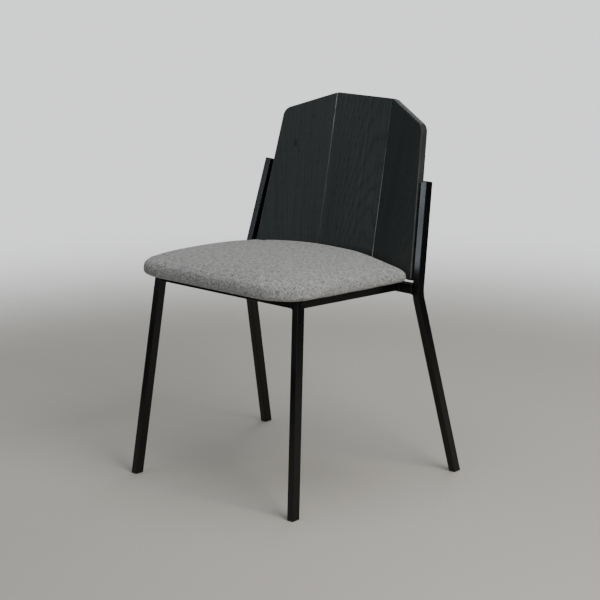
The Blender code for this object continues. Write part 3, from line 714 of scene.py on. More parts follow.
def make_stained_wood(name, heart, arches, shift, knot, painted_light_gain, wear):
    """Wood with arches of a given strength centred on u = heart; shift moves the noises, and
    the arches bend round a small dark knot.

    The arris is worn by WORN_THROUGH + (wear[0] + wear[1] * u) * v, so more at one end of a fold.
    """
    finish = Finish(name, Specular_IOR_Level=0.15)
    source = finish.add("TexCoord").outputs["UV"]
    moved = finish.vector("ADD", source, shift)

    def stretched(across, along):
        return finish.add("Mapping", {"Vector": moved, "Scale": (across, along, 1)}).outputs[0]

    split = finish.add("SeparateXYZ", {0: source})
    off_heart = finish.math("SUBTRACT", split.outputs["X"], heart)
    bend = finish.noise(stretched(5.0, 1.6), 1.6, 2.0)
    from_knot = finish.vector("MULTIPLY", finish.vector("SUBTRACT", source, knot), KNOT_SHAPE)
    near_knot = finish.spread(finish.vector("LENGTH", from_knot), KNOT_RADIUS, 0.0)
    arch = finish.total((finish.math("MULTIPLY", off_heart, off_heart), ARCH_CURVE),
                        (bend, 0.42), (near_knot, 0.10), (split.outputs["Y"], 1.0))
    turns = finish.math("MULTIPLY", arch, 2 * math.pi / ARCH_RISE)
    rings = finish.spread(finish.math("SINE", turns), -1.0, 1.0)
    late_wood = finish.math("POWER", rings, 3.0)
    fibre = finish.noise(stretched(900.0, 18.0), 1.0, 3.0, 0.65)
    streak = finish.noise(stretched(150.0, 2.2), 1.0, 2.0, 0.55)
    cloud = finish.noise(stretched(9.0, 3.0), 1.0, 2.0)
    pores = finish.spread(finish.noise(stretched(1500.0, 55.0), 1.0, 1.0), 0.58, 0.68)
    pores = finish.math("MULTIPLY", pores, finish.spread(late_wood, 0.0, 1.0, 0.35, 1.0))
    tone = finish.total((fibre, 0.30), (streak, 0.50), (cloud, 0.35), (late_wood, -arches))
    # Both tones are scaled by a per-board gain. This is painted light: boards of one stain are made
    # lighter or darker as light falls on each.
    dark, pale = [tuple(channel * painted_light_gain for channel in colour)
                  for colour in ((0.0195, 0.0219, 0.0217), (0.0295, 0.0328, 0.0324))]
    colour = finish.blend(finish.spread(tone, 0.34, 0.80), dark, pale)
    colour = finish.blend(finish.math("MULTIPLY", pores, 0.65), colour, (0.004, 0.0042, 0.0048))
    colour = finish.blend(finish.math("MULTIPLY", near_knot, 0.6), colour, (0.004, 0.0042, 0.005))
    worn = finish.add("Attribute", attribute_name="worn").outputs["Fac"]
    patchy = finish.noise(stretched(30.0, 22.0), 1.0, 3.0, 0.7)
    crossed = finish.math("MULTIPLY_ADD", split.outputs["X"], wear[1], wear[0])
    rising = finish.math("MULTIPLY_ADD", split.outputs["Y"], crossed, WORN_THROUGH)
    thin = finish.math("MULTIPLY", worn, finish.spread(rising, 0.0, 1.0, 0.10, 1.0))
    thin = finish.math("MULTIPLY", thin, finish.spread(patchy, 0.36, 0.60, 0.35, 1.0))
    colour = finish.blend(thin, colour, (0.44, 0.445, 0.44))
    relief = finish.total((fibre, 0.55), (pores, -0.8), (rings, 0.20))
    rough = finish.spread(finish.math("MULTIPLY_ADD", pores, 0.5, streak), 0.3, 1.0, 0.40, 0.60)
    return finish.wire(Base_Color=colour, Roughness=rough,
                       Normal=finish.bump(relief, 0.00011, 0.45))


OVERHEAD = (0.0, -1.0, 0.2)
middle_front = facing("back_board_middle", OVERHEAD)[1]
half_fold = {name: math.acos(float(middle_front @ facing("back_board_" + name, OVERHEAD)[1])) / 2
             for name, _ in SIDES}
print("each wing folds forward by %.1f degrees" % math.degrees(2 * half_fold["left"]))

# %% The three boards
# The tone gains 1.1, 1.85 and 1.8 paint the wings lighter than the middle board. This is painted
# light, not a different stain.
FAR_KNOT = (9.0, 9.0, 0.0)
plate("back_panel_middle", "back_board_middle", OVERHEAD,
      make_stained_wood("stained_ash_middle", 0.075, 0.26, (0.3, 1.7, 0.0), FAR_KNOT, 1.1,
                        (0.0, -44.0)),
      "stained_wood", fold=[((-1, 0), half_fold["left"]), ((1, 0), half_fold["right"])])
plate("back_panel_left", "back_board_left", OVERHEAD,
      make_stained_wood("stained_ash_left", -0.12, 0.08, (4.1, 0.4, 0.0), (-0.012, 0.080, 0.0),
                        1.85, (3.3, 0.0)),
      "stained_wood", fold=[((1, 0), half_fold["left"])])
plate("back_panel_right", "back_board_right", OVERHEAD,
      make_stained_wood("stained_ash_right", 0.11, 0.14, (7.6, 2.9, 0.0), FAR_KNOT, 1.8,
                        (-3.3, 0.0)),
      "stained_wood", fold=[((-1, 0), half_fold["right"])])

# %% [markdown]
# ## The seat cushion
# A slab of foam on a plywood board, with felted cloth pulled down over it and stapled
# underneath. Seen from above it has generous front corners; from the side it swells out over
# the rails and domes gently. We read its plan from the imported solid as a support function: in
# every direction, how far the solid reaches. The radius of a convex shape follows from that:
# R(t) is the least of h(a) / cos(t - a) over all directions a.

# %% The cushion's plan
DIRECTIONS = 1440
SMOOTHING = 13
LEAST_FACING = 0.1


def to_seat(points):
    """Points in the seat's own axes: across, back and up from the tops of the rails."""
    return (np.asarray(points) - seat_origin) @ seat_axes.T


def from_seat(points):
    return seat_origin + np.asarray(points) @ seat_axes


seat_axes = np.stack([ACROSS, seat_back, rail_top_normal])
cover_points = cad_points("seat_cover")
cover_middle = (cover_points.max(0) + cover_points.min(0)) / 2
seat_origin = cover_middle - ((cover_middle - rail_top_point) @ rail_top_normal) * rail_top_normal
seat_origin[0] = 0.0
cover_local = to_seat(cover_points)
angles = full_turn(DIRECTIONS)
support = (cover_local[:, :2] @ round_the(angles).T).max(0)
facing_share = np.cos(angles[:, None] - angles)
bound = np.where(facing_share > LEAST_FACING, support / facing_share.clip(LEAST_FACING), np.inf)
radius = bound.min(1)
window = np.hanning(SMOOTHING + 2)[1:-1]
wrapped = np.concatenate([radius[-SMOOTHING:], radius, radius[:SMOOTHING]])
plan_radius = np.convolve(wrapped, window / window.sum(), "same")[SMOOTHING:-SMOOTHING]
cushion_top = float(cover_local[:, 2].max())
print("cushion: %.0f mm thick, radius %.0f to %.0f mm"
      % (cushion_top * 1000, plan_radius.min() * 1000, plan_radius.max() * 1000))


def radius_at(angle):
    return np.interp(angle % (2 * math.pi), np.append(angles, 2 * math.pi),
                     np.append(plan_radius, plan_radius[0]))


# %% [markdown]
# The section is one curve from the middle of the underside to the middle of the top: flat
# where it lies on the rails, a quarter of an ellipse round the tucked edge, then a crown that
# follows height = rise * (1 - s^m)^n, where s runs from 1 at the edge to 0 in the middle. The
# two rear corners taper: the cloth is pulled down harder there, so the edge is lower and softer.

# %% The cushion's section
UNDERSIDE = 0.0009
WIDEST = 0.0155
TUCK_START = 0.952
CROWN_FLATNESS = 2.7
CROWN_FULLNESS = 0.30
FRONT_ROUNDING = 1.6
REAR_ROUNDING = 3.2
SIDE_SWELL = 0.003
TAPER_DROP = 0.16
TAPER_SOFTNESS = 0.10
MIDDLE_BELOW = 0.02
MIDDLE_ABOVE = 0.01
CROWN_SPACING = 0.8
half_plan = [float(radius_at(angle)) for angle in (0.0, math.pi / 2)]


def cushion_section(top, taper=np.zeros(1), steps=(10, 10, 34)):
    """Shares of the radius, and heights, from the middle below to the middle on top.

    A column for each taper, 0 to 1: a tapered edge is widest lower down and its crown is
    less full, with m and n as above.
    """
    below = np.linspace(MIDDLE_BELOW, TUCK_START, steps[0])
    tuck = quarter_turn(steps[1])[1:]
    crown = np.append(np.cos(quarter_turn(steps[2])[1:-1]) ** CROWN_SPACING, MIDDLE_ABOVE)
    share = np.concatenate([below, TUCK_START + (1 - TUCK_START) * np.sin(tuck), crown])
    widest = WIDEST * (1 - TAPER_DROP * taper)[None, :]
    fullness = (CROWN_FULLNESS + TAPER_SOFTNESS * taper)[None, :]
    rise = (top - widest) * (1 - crown[:, None] ** CROWN_FLATNESS) ** fullness
    height = np.concatenate([np.full((steps[0], len(taper)), UNDERSIDE),
                             widest - (widest - UNDERSIDE) * np.cos(tuck)[:, None], widest + rise])
    return share, height


def cushion_points(shrink, top, columns=240):
    """Rings from the plan at the edge towards an ellipse in the middle, so the crown has no
    ridges: radius = s * (w * plan + (1 - w) * ellipse), where w = s^rounding above and 1
    below. The rear corners slope away more than the front ones, so their rounding is larger,
    and the sides swell by SIDE_SWELL * cos(turn)^4."""
    turn = full_turn(columns)
    plan = radius_at(turn) - shrink + SIDE_SWELL * np.cos(turn) ** 4
    rounding = FRONT_ROUNDING + (REAR_ROUNDING - FRONT_ROUNDING) * (np.sin(turn) + 1) / 2
    ellipse = 1 / np.hypot(np.cos(turn) / half_plan[0], np.sin(turn) / half_plan[1])
    corner = np.clip((plan / ellipse - 1) / (plan / ellipse - 1).max(), 0, 1)
    share, height = cushion_section(top, corner ** 2 * (np.sin(turn) > 0))
    above = np.arange(len(share)) >= np.argmax(share)
    weight = np.where(above[:, None], share[:, None] ** rounding, 1.0)
    reach = share[:, None] * (weight * plan + (1 - weight) * ellipse)
    local = np.concatenate([reach[..., None] * round_the(turn), height[..., None]], axis=-1)
    return from_seat(local.reshape(-1, 3)), capped_grid(len(share), columns)


# %% [markdown]
# Foam under tight cloth doesn't keep a drawn curve: it pushes out where the cloth is loose and
# is held in at the corners. Cloth simulation finds that balance. We remesh the form into even
# cells, hold its underside still, and blow it up softly from inside for twenty frames. No
# point may move further than a cap, so the cushion stays the size that was measured.

# %% Inflate the cushion
VOXEL = 0.005
PRESSURE = 4.0
SWELL_CAP = 0.0045
START_SHRINK = -0.0012
START_LOW = 0.0060
HELD_SHARE = 0.6
LAST_FRAME = 20


def evaluated_mesh(piece):
    bpy.context.view_layer.update()
    return bpy.data.meshes.new_from_object(
        piece.evaluated_get(bpy.context.evaluated_depsgraph_get()))


def place_points(piece, points):
    piece.data.vertices.foreach_set("co", points.astype(np.float32).ravel())


def even_cells(piece, size):
    remesh = piece.modifiers.new("even_cells", "REMESH")
    remesh.mode = "VOXEL"
    remesh.voxel_size = size
    piece.data = evaluated_mesh(piece)
    piece.modifiers.clear()


def inflate(piece, cap):
    """Cloth pressure from inside, with the underside held, and each point's move capped.

    A move of size d becomes cap * d / (cap + d), which stays under the cap and has no kink.
    """
    rest = points_of(piece.data)
    held = piece.vertex_groups.new(name="held")
    underside = np.flatnonzero(to_seat(rest)[:, 2] < WIDEST * HELD_SHARE)
    held.add(underside.tolist(), 1.0, "REPLACE")
    cloth = piece.modifiers.new("inflate", "CLOTH")
    cloth.settings.vertex_group_mass = "held"
    cloth.settings.use_pressure = True
    cloth.settings.uniform_pressure_force = PRESSURE
    cloth.settings.effector_weights.gravity = 0.0
    cloth.collision_settings.use_collision = False
    cloth.point_cache.frame_start = 1
    cloth.point_cache.frame_end = LAST_FRAME
    for step in range(1, LAST_FRAME + 1):
        bpy.context.scene.frame_set(step)
    swollen = points_of(evaluated_mesh(piece))
    piece.modifiers.clear()
    piece.vertex_groups.clear()
    move = swollen - rest
    size = np.linalg.norm(move, axis=1)
    print("swell: mean %.1f mm, most %.1f mm" % (size.mean() * 1000, size.max() * 1000))
    return rest + move * (cap / (cap + size))[:, None]


# %% [markdown]
# ### Felted wool cloth
# The cover is a pale grey mixture cloth: each yarn is spun from light and dark fibres, so up
# close it is flecked and from afar it is an even, slightly clouded grey. The weave is two sets
# of ridges that cross at right angles in the cloth's own metres; the flecks are noise drawn
# out along each set of yarns; a fine fuzz softens it, and sheen lifts the edges as raised
# fibres do.

# %% Mixture cloth
YARN = 0.0011


def make_mixture_cloth():
    finish = Finish("grey_mixture_cloth", Roughness=0.92, Specular_IOR_Level=0.18,
                    Sheen_Weight=0.22, Sheen_Roughness=0.55)
    source = finish.add("TexCoord").outputs["UV"]
    split = finish.add("SeparateXYZ", {0: source})
    wobble = finish.noise(source, 90.0, 2.0)
    ridges = []
    for axis in ("X", "Y"):
        moved = finish.math("MULTIPLY_ADD", wobble, YARN * 1.6, split.outputs[axis])
        turns = finish.math("MULTIPLY", moved, 2 * math.pi / YARN)
        ridges.append(finish.math("SINE", turns))
    weave = finish.math("MULTIPLY", ridges[0], ridges[1])
    warp = finish.add("Mapping", {"Vector": source, "Scale": (1.0, 0.16, 1.0)}).outputs[0]
    weft = finish.add("Mapping", {"Vector": source, "Scale": (0.16, 1.0, 1.0)}).outputs[0]
    warp_fleck = finish.noise(warp, 1150.0, 2.0, 0.6)
    weft_fleck = finish.noise(weft, 1150.0, 2.0, 0.6)
    fleck = finish.choose(finish.spread(weave, -0.35, 0.35), warp_fleck, weft_fleck)
    place = finish.coordinates()
    cloud = finish.noise(place, 55.0, 3.0, 0.6)
    blotch = finish.noise(place, 420.0, 2.0, 0.65)
    clump = finish.noise(place, 190.0, 1.0)
    slub = finish.choose(finish.spread(clump, 0.42, 0.58), finish.noise(warp, 520.0, 1.0),
                         finish.noise(weft, 520.0, 1.0))
    tone = finish.total((blotch, 0.55), (fleck, 0.35), (slub, 0.85), (clump, 0.20), (cloud, 0.10))
    colour = finish.blend(finish.spread(tone, 0.85, 1.20), (0.150, 0.152, 0.151),
                          (0.62, 0.62, 0.605))
    fuzz = finish.noise(place, 2300.0, 3.0, 0.7)
    height = finish.total((fuzz, 0.9), (weave, 0.22), (slub, 1.2))
    return finish.wire(Base_Color=colour, Normal=finish.bump(height, 0.0008, 0.85))


MIXTURE_CLOTH = make_mixture_cloth()

# %% [markdown]
# A cloth needs its own coordinates, because remeshing leaves none. The cover is one flat piece
# pulled down over the foam, so a point's place on the cloth is its direction from the middle
# and the distance walked from the middle over the crown. Under each front corner the spare
# cloth is gathered, which shows as a few shallow ripples in the tucked edge.

# %% Make the cushion
GATHER_DEPTH = 0.0006
GATHER_PITCH = math.radians(2.6)
GATHER_SPAN = math.radians(13)


def walked_uv(points):
    """Direction from the middle, times the length of the section from its top to the point."""
    local = to_seat(points)
    turn = np.arctan2(local[:, 1], local[:, 0])
    reach = np.hypot(local[:, 0], local[:, 1]) / radius_at(turn) * plan_radius.mean()
    share, height = cushion_section(cushion_top)
    section = np.stack([share * plan_radius.mean(), height[:, 0]], axis=1)[::-1]
    lift = np.arctan2(section[:, 1] - WIDEST, section[:, 0])
    slope = np.arctan2(local[:, 2] - WIDEST, reach)
    return np.interp(-slope, -lift, walked(section))[:, None] * round_the(turn)


def gathered(points):
    """Ripples in the tucked edge under the front corners: GATHER_DEPTH * cos(2 * pi * turn /
    GATHER_PITCH), fading out over GATHER_SPAN either side of each corner."""
    local = to_seat(points)
    turn = np.arctan2(local[:, 1], local[:, 0])
    front = np.abs(np.abs(turn) - front_corner)
    near = np.clip(1 - front / GATHER_SPAN, 0, 1) * (turn < 0)
    low = np.clip(1 - local[:, 2] / WIDEST, 0, 1) * np.clip(local[:, 2] / UNDERSIDE - 1, 0, 1)
    ripple = GATHER_DEPTH * np.cos(2 * math.pi * turn / GATHER_PITCH) * near * low
    local[:, :2] *= (1 + ripple / np.hypot(local[:, 0], local[:, 1]).clip(0.05))[:, None]
    return from_seat(local)


quarter = angles[angles > 1.5 * math.pi]
front_corner = 2 * math.pi - quarter[np.argmax(radius_at(quarter))]
points, faces = cushion_points(START_SHRINK, cushion_top - START_LOW)
cushion = new_piece("seat_cushion", points, faces, MIXTURE_CLOTH, "seat_fabric",
                    ("seat_cover", "seat_foam"))
even_cells(cushion, VOXEL)
settled = to_seat(inflate(cushion, SWELL_CAP))
settled[:, 2] = np.maximum(settled[:, 2], UNDERSIDE)
place_points(cushion, from_seat(settled))
smooth = cushion.modifiers.new("finer_cells", "SUBSURF")
smooth.levels = 1
smooth.render_levels = 1
cushion.data = evaluated_mesh(cushion)
cushion.modifiers.clear()
place_points(cushion, gathered(points_of(cushion.data)))
set_uv(cushion, walked_uv(points_of(cushion.data)), "cloth")
cushion.data.materials.clear()
cushion.data.materials.append(MIXTURE_CLOTH)
cushion.data.shade_smooth()
print("cushion faces:", len(cushion.data.polygons))

# %% [markdown]
# ## Under the seat
# From below, the turned-in cloth disappears under a thin black lining that is stapled all
# round. The lining is one sheet, cut to the plan less a margin and pulled flat, with a slight
# belly between the rails. It is a disc whose rings are the plan times a share; the lower and
# upper skins are the same rings a fraction of a millimetre apart.

# %% Black lining
LINING_MARGIN = 0.030
LINING_SKIN = 0.00035
LINING_TOP = 0.00075
LINING_SAG = 0.0011
LINING_RINGS = 26
LINING_COLUMNS = 240
WAVE_HEIGHT = 0.00025
WAVES = 9


def make_lining_cloth():
    finish = Finish("black_lining_cloth", Roughness=0.9, Specular_IOR_Level=0.25)
    place = finish.coordinates()
    dimple = finish.add("TexVoronoi", {"Vector": place, "Scale": 420.0}).outputs["Distance"]
    fibre = finish.noise(place, 1400.0, 3.0, 0.7)
    colour = finish.blend(fibre, (0.008, 0.008, 0.009), (0.030, 0.030, 0.031))
    height = finish.math("MULTIPLY_ADD", dimple, 0.8, fibre)
    return finish.wire(Base_Color=colour, Normal=finish.bump(height, 0.0003, 0.7))


turn = full_turn(LINING_COLUMNS)
lining_radius = radius_at(turn) - LINING_MARGIN
lining_plan = lining_radius[:, None] * round_the(turn)
share = np.linspace(MIDDLE_BELOW, 1, LINING_RINGS)
share = np.concatenate([share, share[::-1]])[:, None]
skin = np.repeat([LINING_TOP - LINING_SKIN, LINING_TOP], LINING_RINGS)[:, None]
wave = WAVE_HEIGHT * np.cos(WAVES * turn) * share ** 2 * (1 - share ** 2)
lining_height = skin - LINING_SAG * (1 - share ** 2) + wave
lining_rings = np.concatenate([share[..., None] * lining_plan, lining_height[..., None]], axis=-1)
lining = new_piece("seat_lining", from_seat(lining_rings.reshape(-1, 3)),
                   capped_grid(len(share), LINING_COLUMNS), make_lining_cloth(), "black_lining",
                   ("dust_cover",))

# %% [markdown]
# A staple is a bit of flattened wire: a straight crown with both legs pushed up into the board.
# One staple is worked out and then copied round the lining's edge by turning whole arrays. No
# staple goes in where a rail lies against the seat.

# %% Staples
STAPLE_CROWN = 0.0100
STAPLE_WIRE = (0.0011, 0.0006)
STAPLE_PATH = np.array([[-1, 0, 0.0012], [-1, 0, -0.0001], [-0.93, 0, -0.0003],
                        [0.93, 0, -0.0003], [1, 0, -0.0001], [1, 0, 0.0012]])
STAPLE_SPACING = 0.024
STAPLE_MARGIN = 0.0085
STAPLE_LEAN = math.radians(7)
LEAN_STEP = 2.4
LOOK_AHEAD = 0.002
RAIL_CLEARANCE = 0.003


def make_bright_wire():
    finish = Finish("bright_wire", Metallic=1.0, Specular_IOR_Level=0.5)
    grime = finish.noise(finish.coordinates(), 300.0, 3.0)
    return finish.wire(Base_Color=finish.blend(grime, (0.42, 0.42, 0.43), (0.62, 0.62, 0.62)),
                       Roughness=finish.spread(grime, 0.2, 0.8, 0.28, 0.5))


def staple_shape(sides=8):
    """The wire's flat section carried down one leg, along the crown and up the other."""
    path = STAPLE_PATH * (STAPLE_CROWN / 2, 0, 1)
    wire = round_the(full_turn(sides) + math.pi / sides) * STAPLE_WIRE / 2
    ahead = np.cross(unit(np.gradient(path, axis=0)), (0, 1, 0))
    return carried(wire, path, (0, 1, 0), ahead), capped_grid(len(path), sides)


def over_a_rail(place):
    """True where a place in the seat's plane lies over one of the rails."""
    found = np.zeros(len(place), bool)
    for node in ("front_rail", "rear_rail", "side_rail_left", "side_rail_right"):
        local = to_seat(cad_points(node))[:, :2]
        low, high = local.min(0) - RAIL_CLEARANCE, local.max(0) + RAIL_CLEARANCE
        found |= ((place > low) & (place < high)).all(1)
    return found


edge = lining_plan * (1 - STAPLE_MARGIN / lining_radius)[:, None]
edge_length = walked(edge)[-1]
number = np.arange(int(edge_length / STAPLE_SPACING))
stops = (number + 0.5) * edge_length / len(number)
places = along_chain(stops, edge)
ahead = along_chain(stops + LOOK_AHEAD, edge) - places
lean = np.arctan2(ahead[:, 1], ahead[:, 0]) + STAPLE_LEAN * np.sin(number * LEAN_STEP)
kept = ~over_a_rail(places)
shape, shape_faces = staple_shape()
staples = []
for place, angle in zip(places[kept], lean[kept]):
    turned = shape[:, :2] @ np.array([[math.cos(angle), math.sin(angle)],
                                      [-math.sin(angle), math.cos(angle)]])
    local = np.column_stack([turned + place, shape[:, 2] + LINING_TOP - LINING_SKIN])
    staples.append((from_seat(local), shape_faces))
new_piece("lining_staples", *joined(staples), make_bright_wire(), "screw_zinc")
print("staples:", len(staples))

# %% [markdown]
# ## Plastic glides and end caps
# Each foot ends in a moulded glide: a lip as wide as the tube, softly rounded where it meets
# the floor, and a plug pushed up inside. A post ends in a cap of the same kind. Both are lofts:
# the tube's section, drawn in by a list of insets, at a list of heights along the tube.

# %% Moulded plastic
def make_moulded_plastic():
    finish = Finish("moulded_black_plastic", Specular_IOR_Level=0.42)
    place = finish.coordinates()
    spark = finish.noise(place, 1900.0, 2.0)
    dust = finish.noise(place, 60.0, 3.0, 0.6)
    colour = finish.blend(finish.spread(dust, 0.45, 0.8), (0.010, 0.010, 0.0105),
                          (0.026, 0.026, 0.027))
    return finish.wire(Base_Color=colour, Roughness=finish.spread(dust, 0.2, 0.8, 0.42, 0.6),
                       Normal=finish.bump(spark, 0.00008, 0.6))


MOULDED_PLASTIC = make_moulded_plastic()
GLIDE_PROFILE = [(0.0, 0.0016), (0.0, 0.0011), (0.0003, 0.0004), (0.0008, 0.0), (0.0022, 0.0),
                 (0.0026, 0.0003), (0.0027, 0.0019), (0.0160, 0.0019), (0.0175, 0.0030)]
CAP_PROFILE = [(-0.0175, 0.0030), (-0.0160, 0.0019), (-0.0020, 0.0019), (-0.0020, 0.0),
               (-0.0007, 0.0), (-0.0002, 0.0003), (0.0, 0.0009), (-0.0001, 0.0024),
               (-0.0004, 0.0034)]
PLUG_CORNER = 0.0005


def lofted_end(name, node, base, axis, across, profile, plane_normal):
    """The tube's section at each height of the profile, drawn in by that height's inset."""
    across = unit(across - (across @ axis) * axis)
    rings = []
    for height, inset in profile:
        section = rounded_section(TUBE_WIDTH - 2 * inset, TUBE_DEPTH - 2 * inset,
                                  max(TUBE_RADIUS - inset, PLUG_CORNER))
        ring = carried(section, base, across, np.cross(axis, across))
        rings.append(cut_to_plane(ring, axis, base + height * plane_normal, plane_normal))
    faces = capped_grid(len(rings), len(rings[0]))
    new_piece(name, np.concatenate(rings), faces, MOULDED_PLASTIC, "black_plastic", (node,))


for side_name, _ in SIDES:
    leg = rear_legs[side_name]
    for row, point, axis, across in (("front", *tube_line("front_leg_" + side_name), ACROSS),
                                     ("rear", leg["bend"], leg["leg_axis"], leg["across"])):
        node = "glide_%s_%s" % (row, side_name)
        foot = point - axis * point[2] / axis[2]
        lofted_end("foot_" + node, node, foot, axis, across, GLIDE_PROFILE, UP)
    top = leg["top"] + leg["up"] * CAP_THICKNESS
    lofted_end("post_end_" + side_name, "post_cap_" + side_name, top, leg["up"],
               leg["across"], CAP_PROFILE, leg["up"])

# %% [markdown]
# ## Fixing tabs
# The seat and the back are screwed to flat steel tabs welded to the frame. They are plates like
# the boards, only smaller, so the same function makes them, in the frame's powder coat.

# %% Tabs of the seat and the back
TAB_ARRIS = 0.0005
for side_name, _ in SIDES:
    wing_back = -facing("back_board_" + side_name, OVERHEAD)[1]
    for kind, towards in (("seat_tab_front_", seat_down), ("seat_tab_rear_", seat_down),
                          ("back_tab_low_", wing_back), ("back_tab_high_", wing_back)):
        node = kind + side_name
        plate("fixing_" + node, node, towards, POWDER_COAT, "frame_steel", TAB_ARRIS)

# %% [markdown]
# ## Screws
# The screws are zinc plated, with a low domed head and a crossed recess. A head is a polar grid:
# its height is the dome's, less the depth of the recess wherever a point falls inside the
# cross. The step from dome to recess is a smooth ramp, so it shades cleanly.

# %% Crossed pan-head screws
HEAD_HEIGHT = 0.0024
HEAD_RADIUS = 0.0042
RECESS_HALF_WIDTH = 0.00050
RECESS_REACH = 0.0023
RECESS_DEPTH = 0.0013
RECESS_RAMP = 0.00018
DOME_FALL = 0.55
SHANK_RADII = np.array([[0.0019], [0.0019], [0.0004]])
SHANK_STEPS = np.array([[0.0], [0.7], [1.0]])
SHANK_SIDES = 24


def smooth_step(value):
    value = np.clip(value, 0, 1)
    return value * value * (3 - 2 * value)


def screw_head(rings=22, columns=64):
    """Heights over a disc: dome(r) = H * (1 - DOME_FALL * (r / R)^3), less a crossed recess.

    The recess is where the smaller of |x|, |y| is under its half width and the larger is
    within its reach, and it grows shallower towards the tips.
    """
    share = np.linspace(0.01, 1, rings)[:, None]
    disc = HEAD_RADIUS * share[..., None] * round_the(full_turn(columns))
    narrow, wide = np.abs(disc).min(-1), np.abs(disc).max(-1)
    inside = smooth_step((RECESS_HALF_WIDTH - narrow) / RECESS_RAMP + 0.5)
    inside *= smooth_step((RECESS_REACH - wide) / RECESS_RAMP + 0.5)
    depth = RECESS_DEPTH * inside * (1 - 0.55 * wide / RECESS_REACH)
    height = HEAD_HEIGHT * (1 - DOME_FALL * share ** 3) - depth
    top = np.concatenate([disc, height[..., None]], axis=-1).reshape(-1, 3)
    skirt = np.column_stack([disc[-1], np.zeros(columns)])
    return np.concatenate([top, skirt]), capped_grid(rings + 1, columns)


def make_zinc():
    finish = Finish("zinc_plate", Metallic=1.0, Specular_IOR_Level=0.5)
    place = finish.coordinates()
    stain = finish.noise(place, 420.0, 3.0, 0.6)
    scratch = finish.noise(place, 2600.0, 2.0)
    colour = finish.blend(stain, (0.50, 0.51, 0.54), (0.72, 0.71, 0.66))
    return finish.wire(Base_Color=colour, Roughness=finish.spread(stain, 0.2, 0.8, 0.22, 0.42),
                       Normal=finish.bump(scratch, 0.00005, 0.4))


ZINC = make_zinc()
head_points, head_faces = screw_head()


def screw(name, node, axis, twist):
    """A head turned to face back along the screw's axis, and a plain shank below it."""
    solid = cad_points(node)
    middle = (solid.max(0) + solid.min(0)) / 2
    start, tip = (solid @ axis).min(), (solid @ axis).max()
    across = unit(np.cross(axis, [0.31, 0.87, 0.39]))
    turned = math.cos(twist) * across + math.sin(twist) * np.cross(axis, across)
    basis = np.stack([turned, np.cross(-axis, turned), -axis])
    seat_at = middle + axis * (start + HEAD_HEIGHT - middle @ axis)
    below = -SHANK_STEPS * (tip - start - HEAD_HEIGHT) * UP
    shank = carried(round_the(full_turn(SHANK_SIDES)), below, SHANK_RADII * ACROSS,
                    SHANK_RADII * (0, 1, 0))
    shank_faces = capped_grid(len(below), SHANK_SIDES)
    points, faces = joined([(head_points, head_faces), (shank, shank_faces)])
    new_piece(name, seat_at + points @ basis, faces, ZINC, "screw_zinc", (node,))


screw_nodes = sorted(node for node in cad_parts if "screw" in node)
for number, node in enumerate(screw_nodes):
    if node.startswith("seat"):
        axis = rail_top_normal
    else:
        axis = facing("back_board_" + node.rsplit("_", 1)[1], OVERHEAD)[1]
    screw(node.replace("screw", "head_screw"), node, axis, 0.7 * number)
print("screws:", len(screw_nodes))

# %% [markdown]
# Where a back tab reaches the post, two short runs of weld hold it, one at its lower end and
# one at its upper end. A seat tab has one run along the rail. They are the same rope of puddles,
# laid along the corner between the plate and the tube, and thinning at both ends.

# %% Tab welds
WELD_ENDS = 0.14
POST_BEAD = 0.010
BEAD_INSET = 0.003


def weld_run(name, start, end, radius=0.0013, columns=10, steps=40):
    """A straight bead between two points: radius * sin(pi * s)^WELD_ENDS * (1 + ripple)."""
    share = np.linspace(0.02, 0.98, steps)[:, None]
    heading = unit(end - start)
    across = unit(np.cross(heading, [0.2, 0.3, 0.93]))
    length = np.linalg.norm(end - start)
    ripple = 1 + PUDDLE_HEIGHT * np.abs(np.sin(share * length / PUDDLE * math.pi))
    size = radius * np.sin(math.pi * share) ** WELD_ENDS * ripple
    points = carried(round_the(full_turn(columns)), start + share * (end - start),
                     size * across, size * np.cross(heading, across))
    new_piece(name, points, capped_grid(steps, columns), POWDER_COAT, "frame_steel")


for side_name, side in SIDES:
    leg = rear_legs[side_name]
    face_point, face_normal = leg["inner_face"]
    for row in ("low", "high"):
        node = "back_tab_%s_%s" % (row, side_name)
        points = cad_points(node)
        nearest = points[np.argsort(np.abs((points - face_point) @ face_normal))[:8]]
        order = nearest @ leg["up"]
        for end_name, pick, inward in (("under", order.argmin(), POST_BEAD),
                                       ("over", order.argmax(), -POST_BEAD)):
            corner = nearest[pick]
            weld_run("weld_%s_%s" % (node, end_name), corner, corner + leg["up"] * inward)
    for row in ("front", "rear"):
        node = "seat_tab_%s_%s" % (row, side_name)
        local = to_seat(cad_points(node))
        rail_face = side * np.abs(local[:, 0]).max()
        low_edge = local[:, 2].min()
        start = from_seat([rail_face, local[:, 1].min() + BEAD_INSET, low_edge])
        end = from_seat([rail_face, local[:, 1].max() - BEAD_INSET, low_edge])
        weld_run("weld_%s" % node, start, end)

# %% [markdown]
# ## Birch plywood
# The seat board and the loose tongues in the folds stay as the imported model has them, since
# their flat faces are right. They only need their finish: pale veneers with fine grain, and on
# the edges the stripes of the plies, which are bands along the board's thickness.

# %% Plywood for the hidden boards
PLY = 0.0013


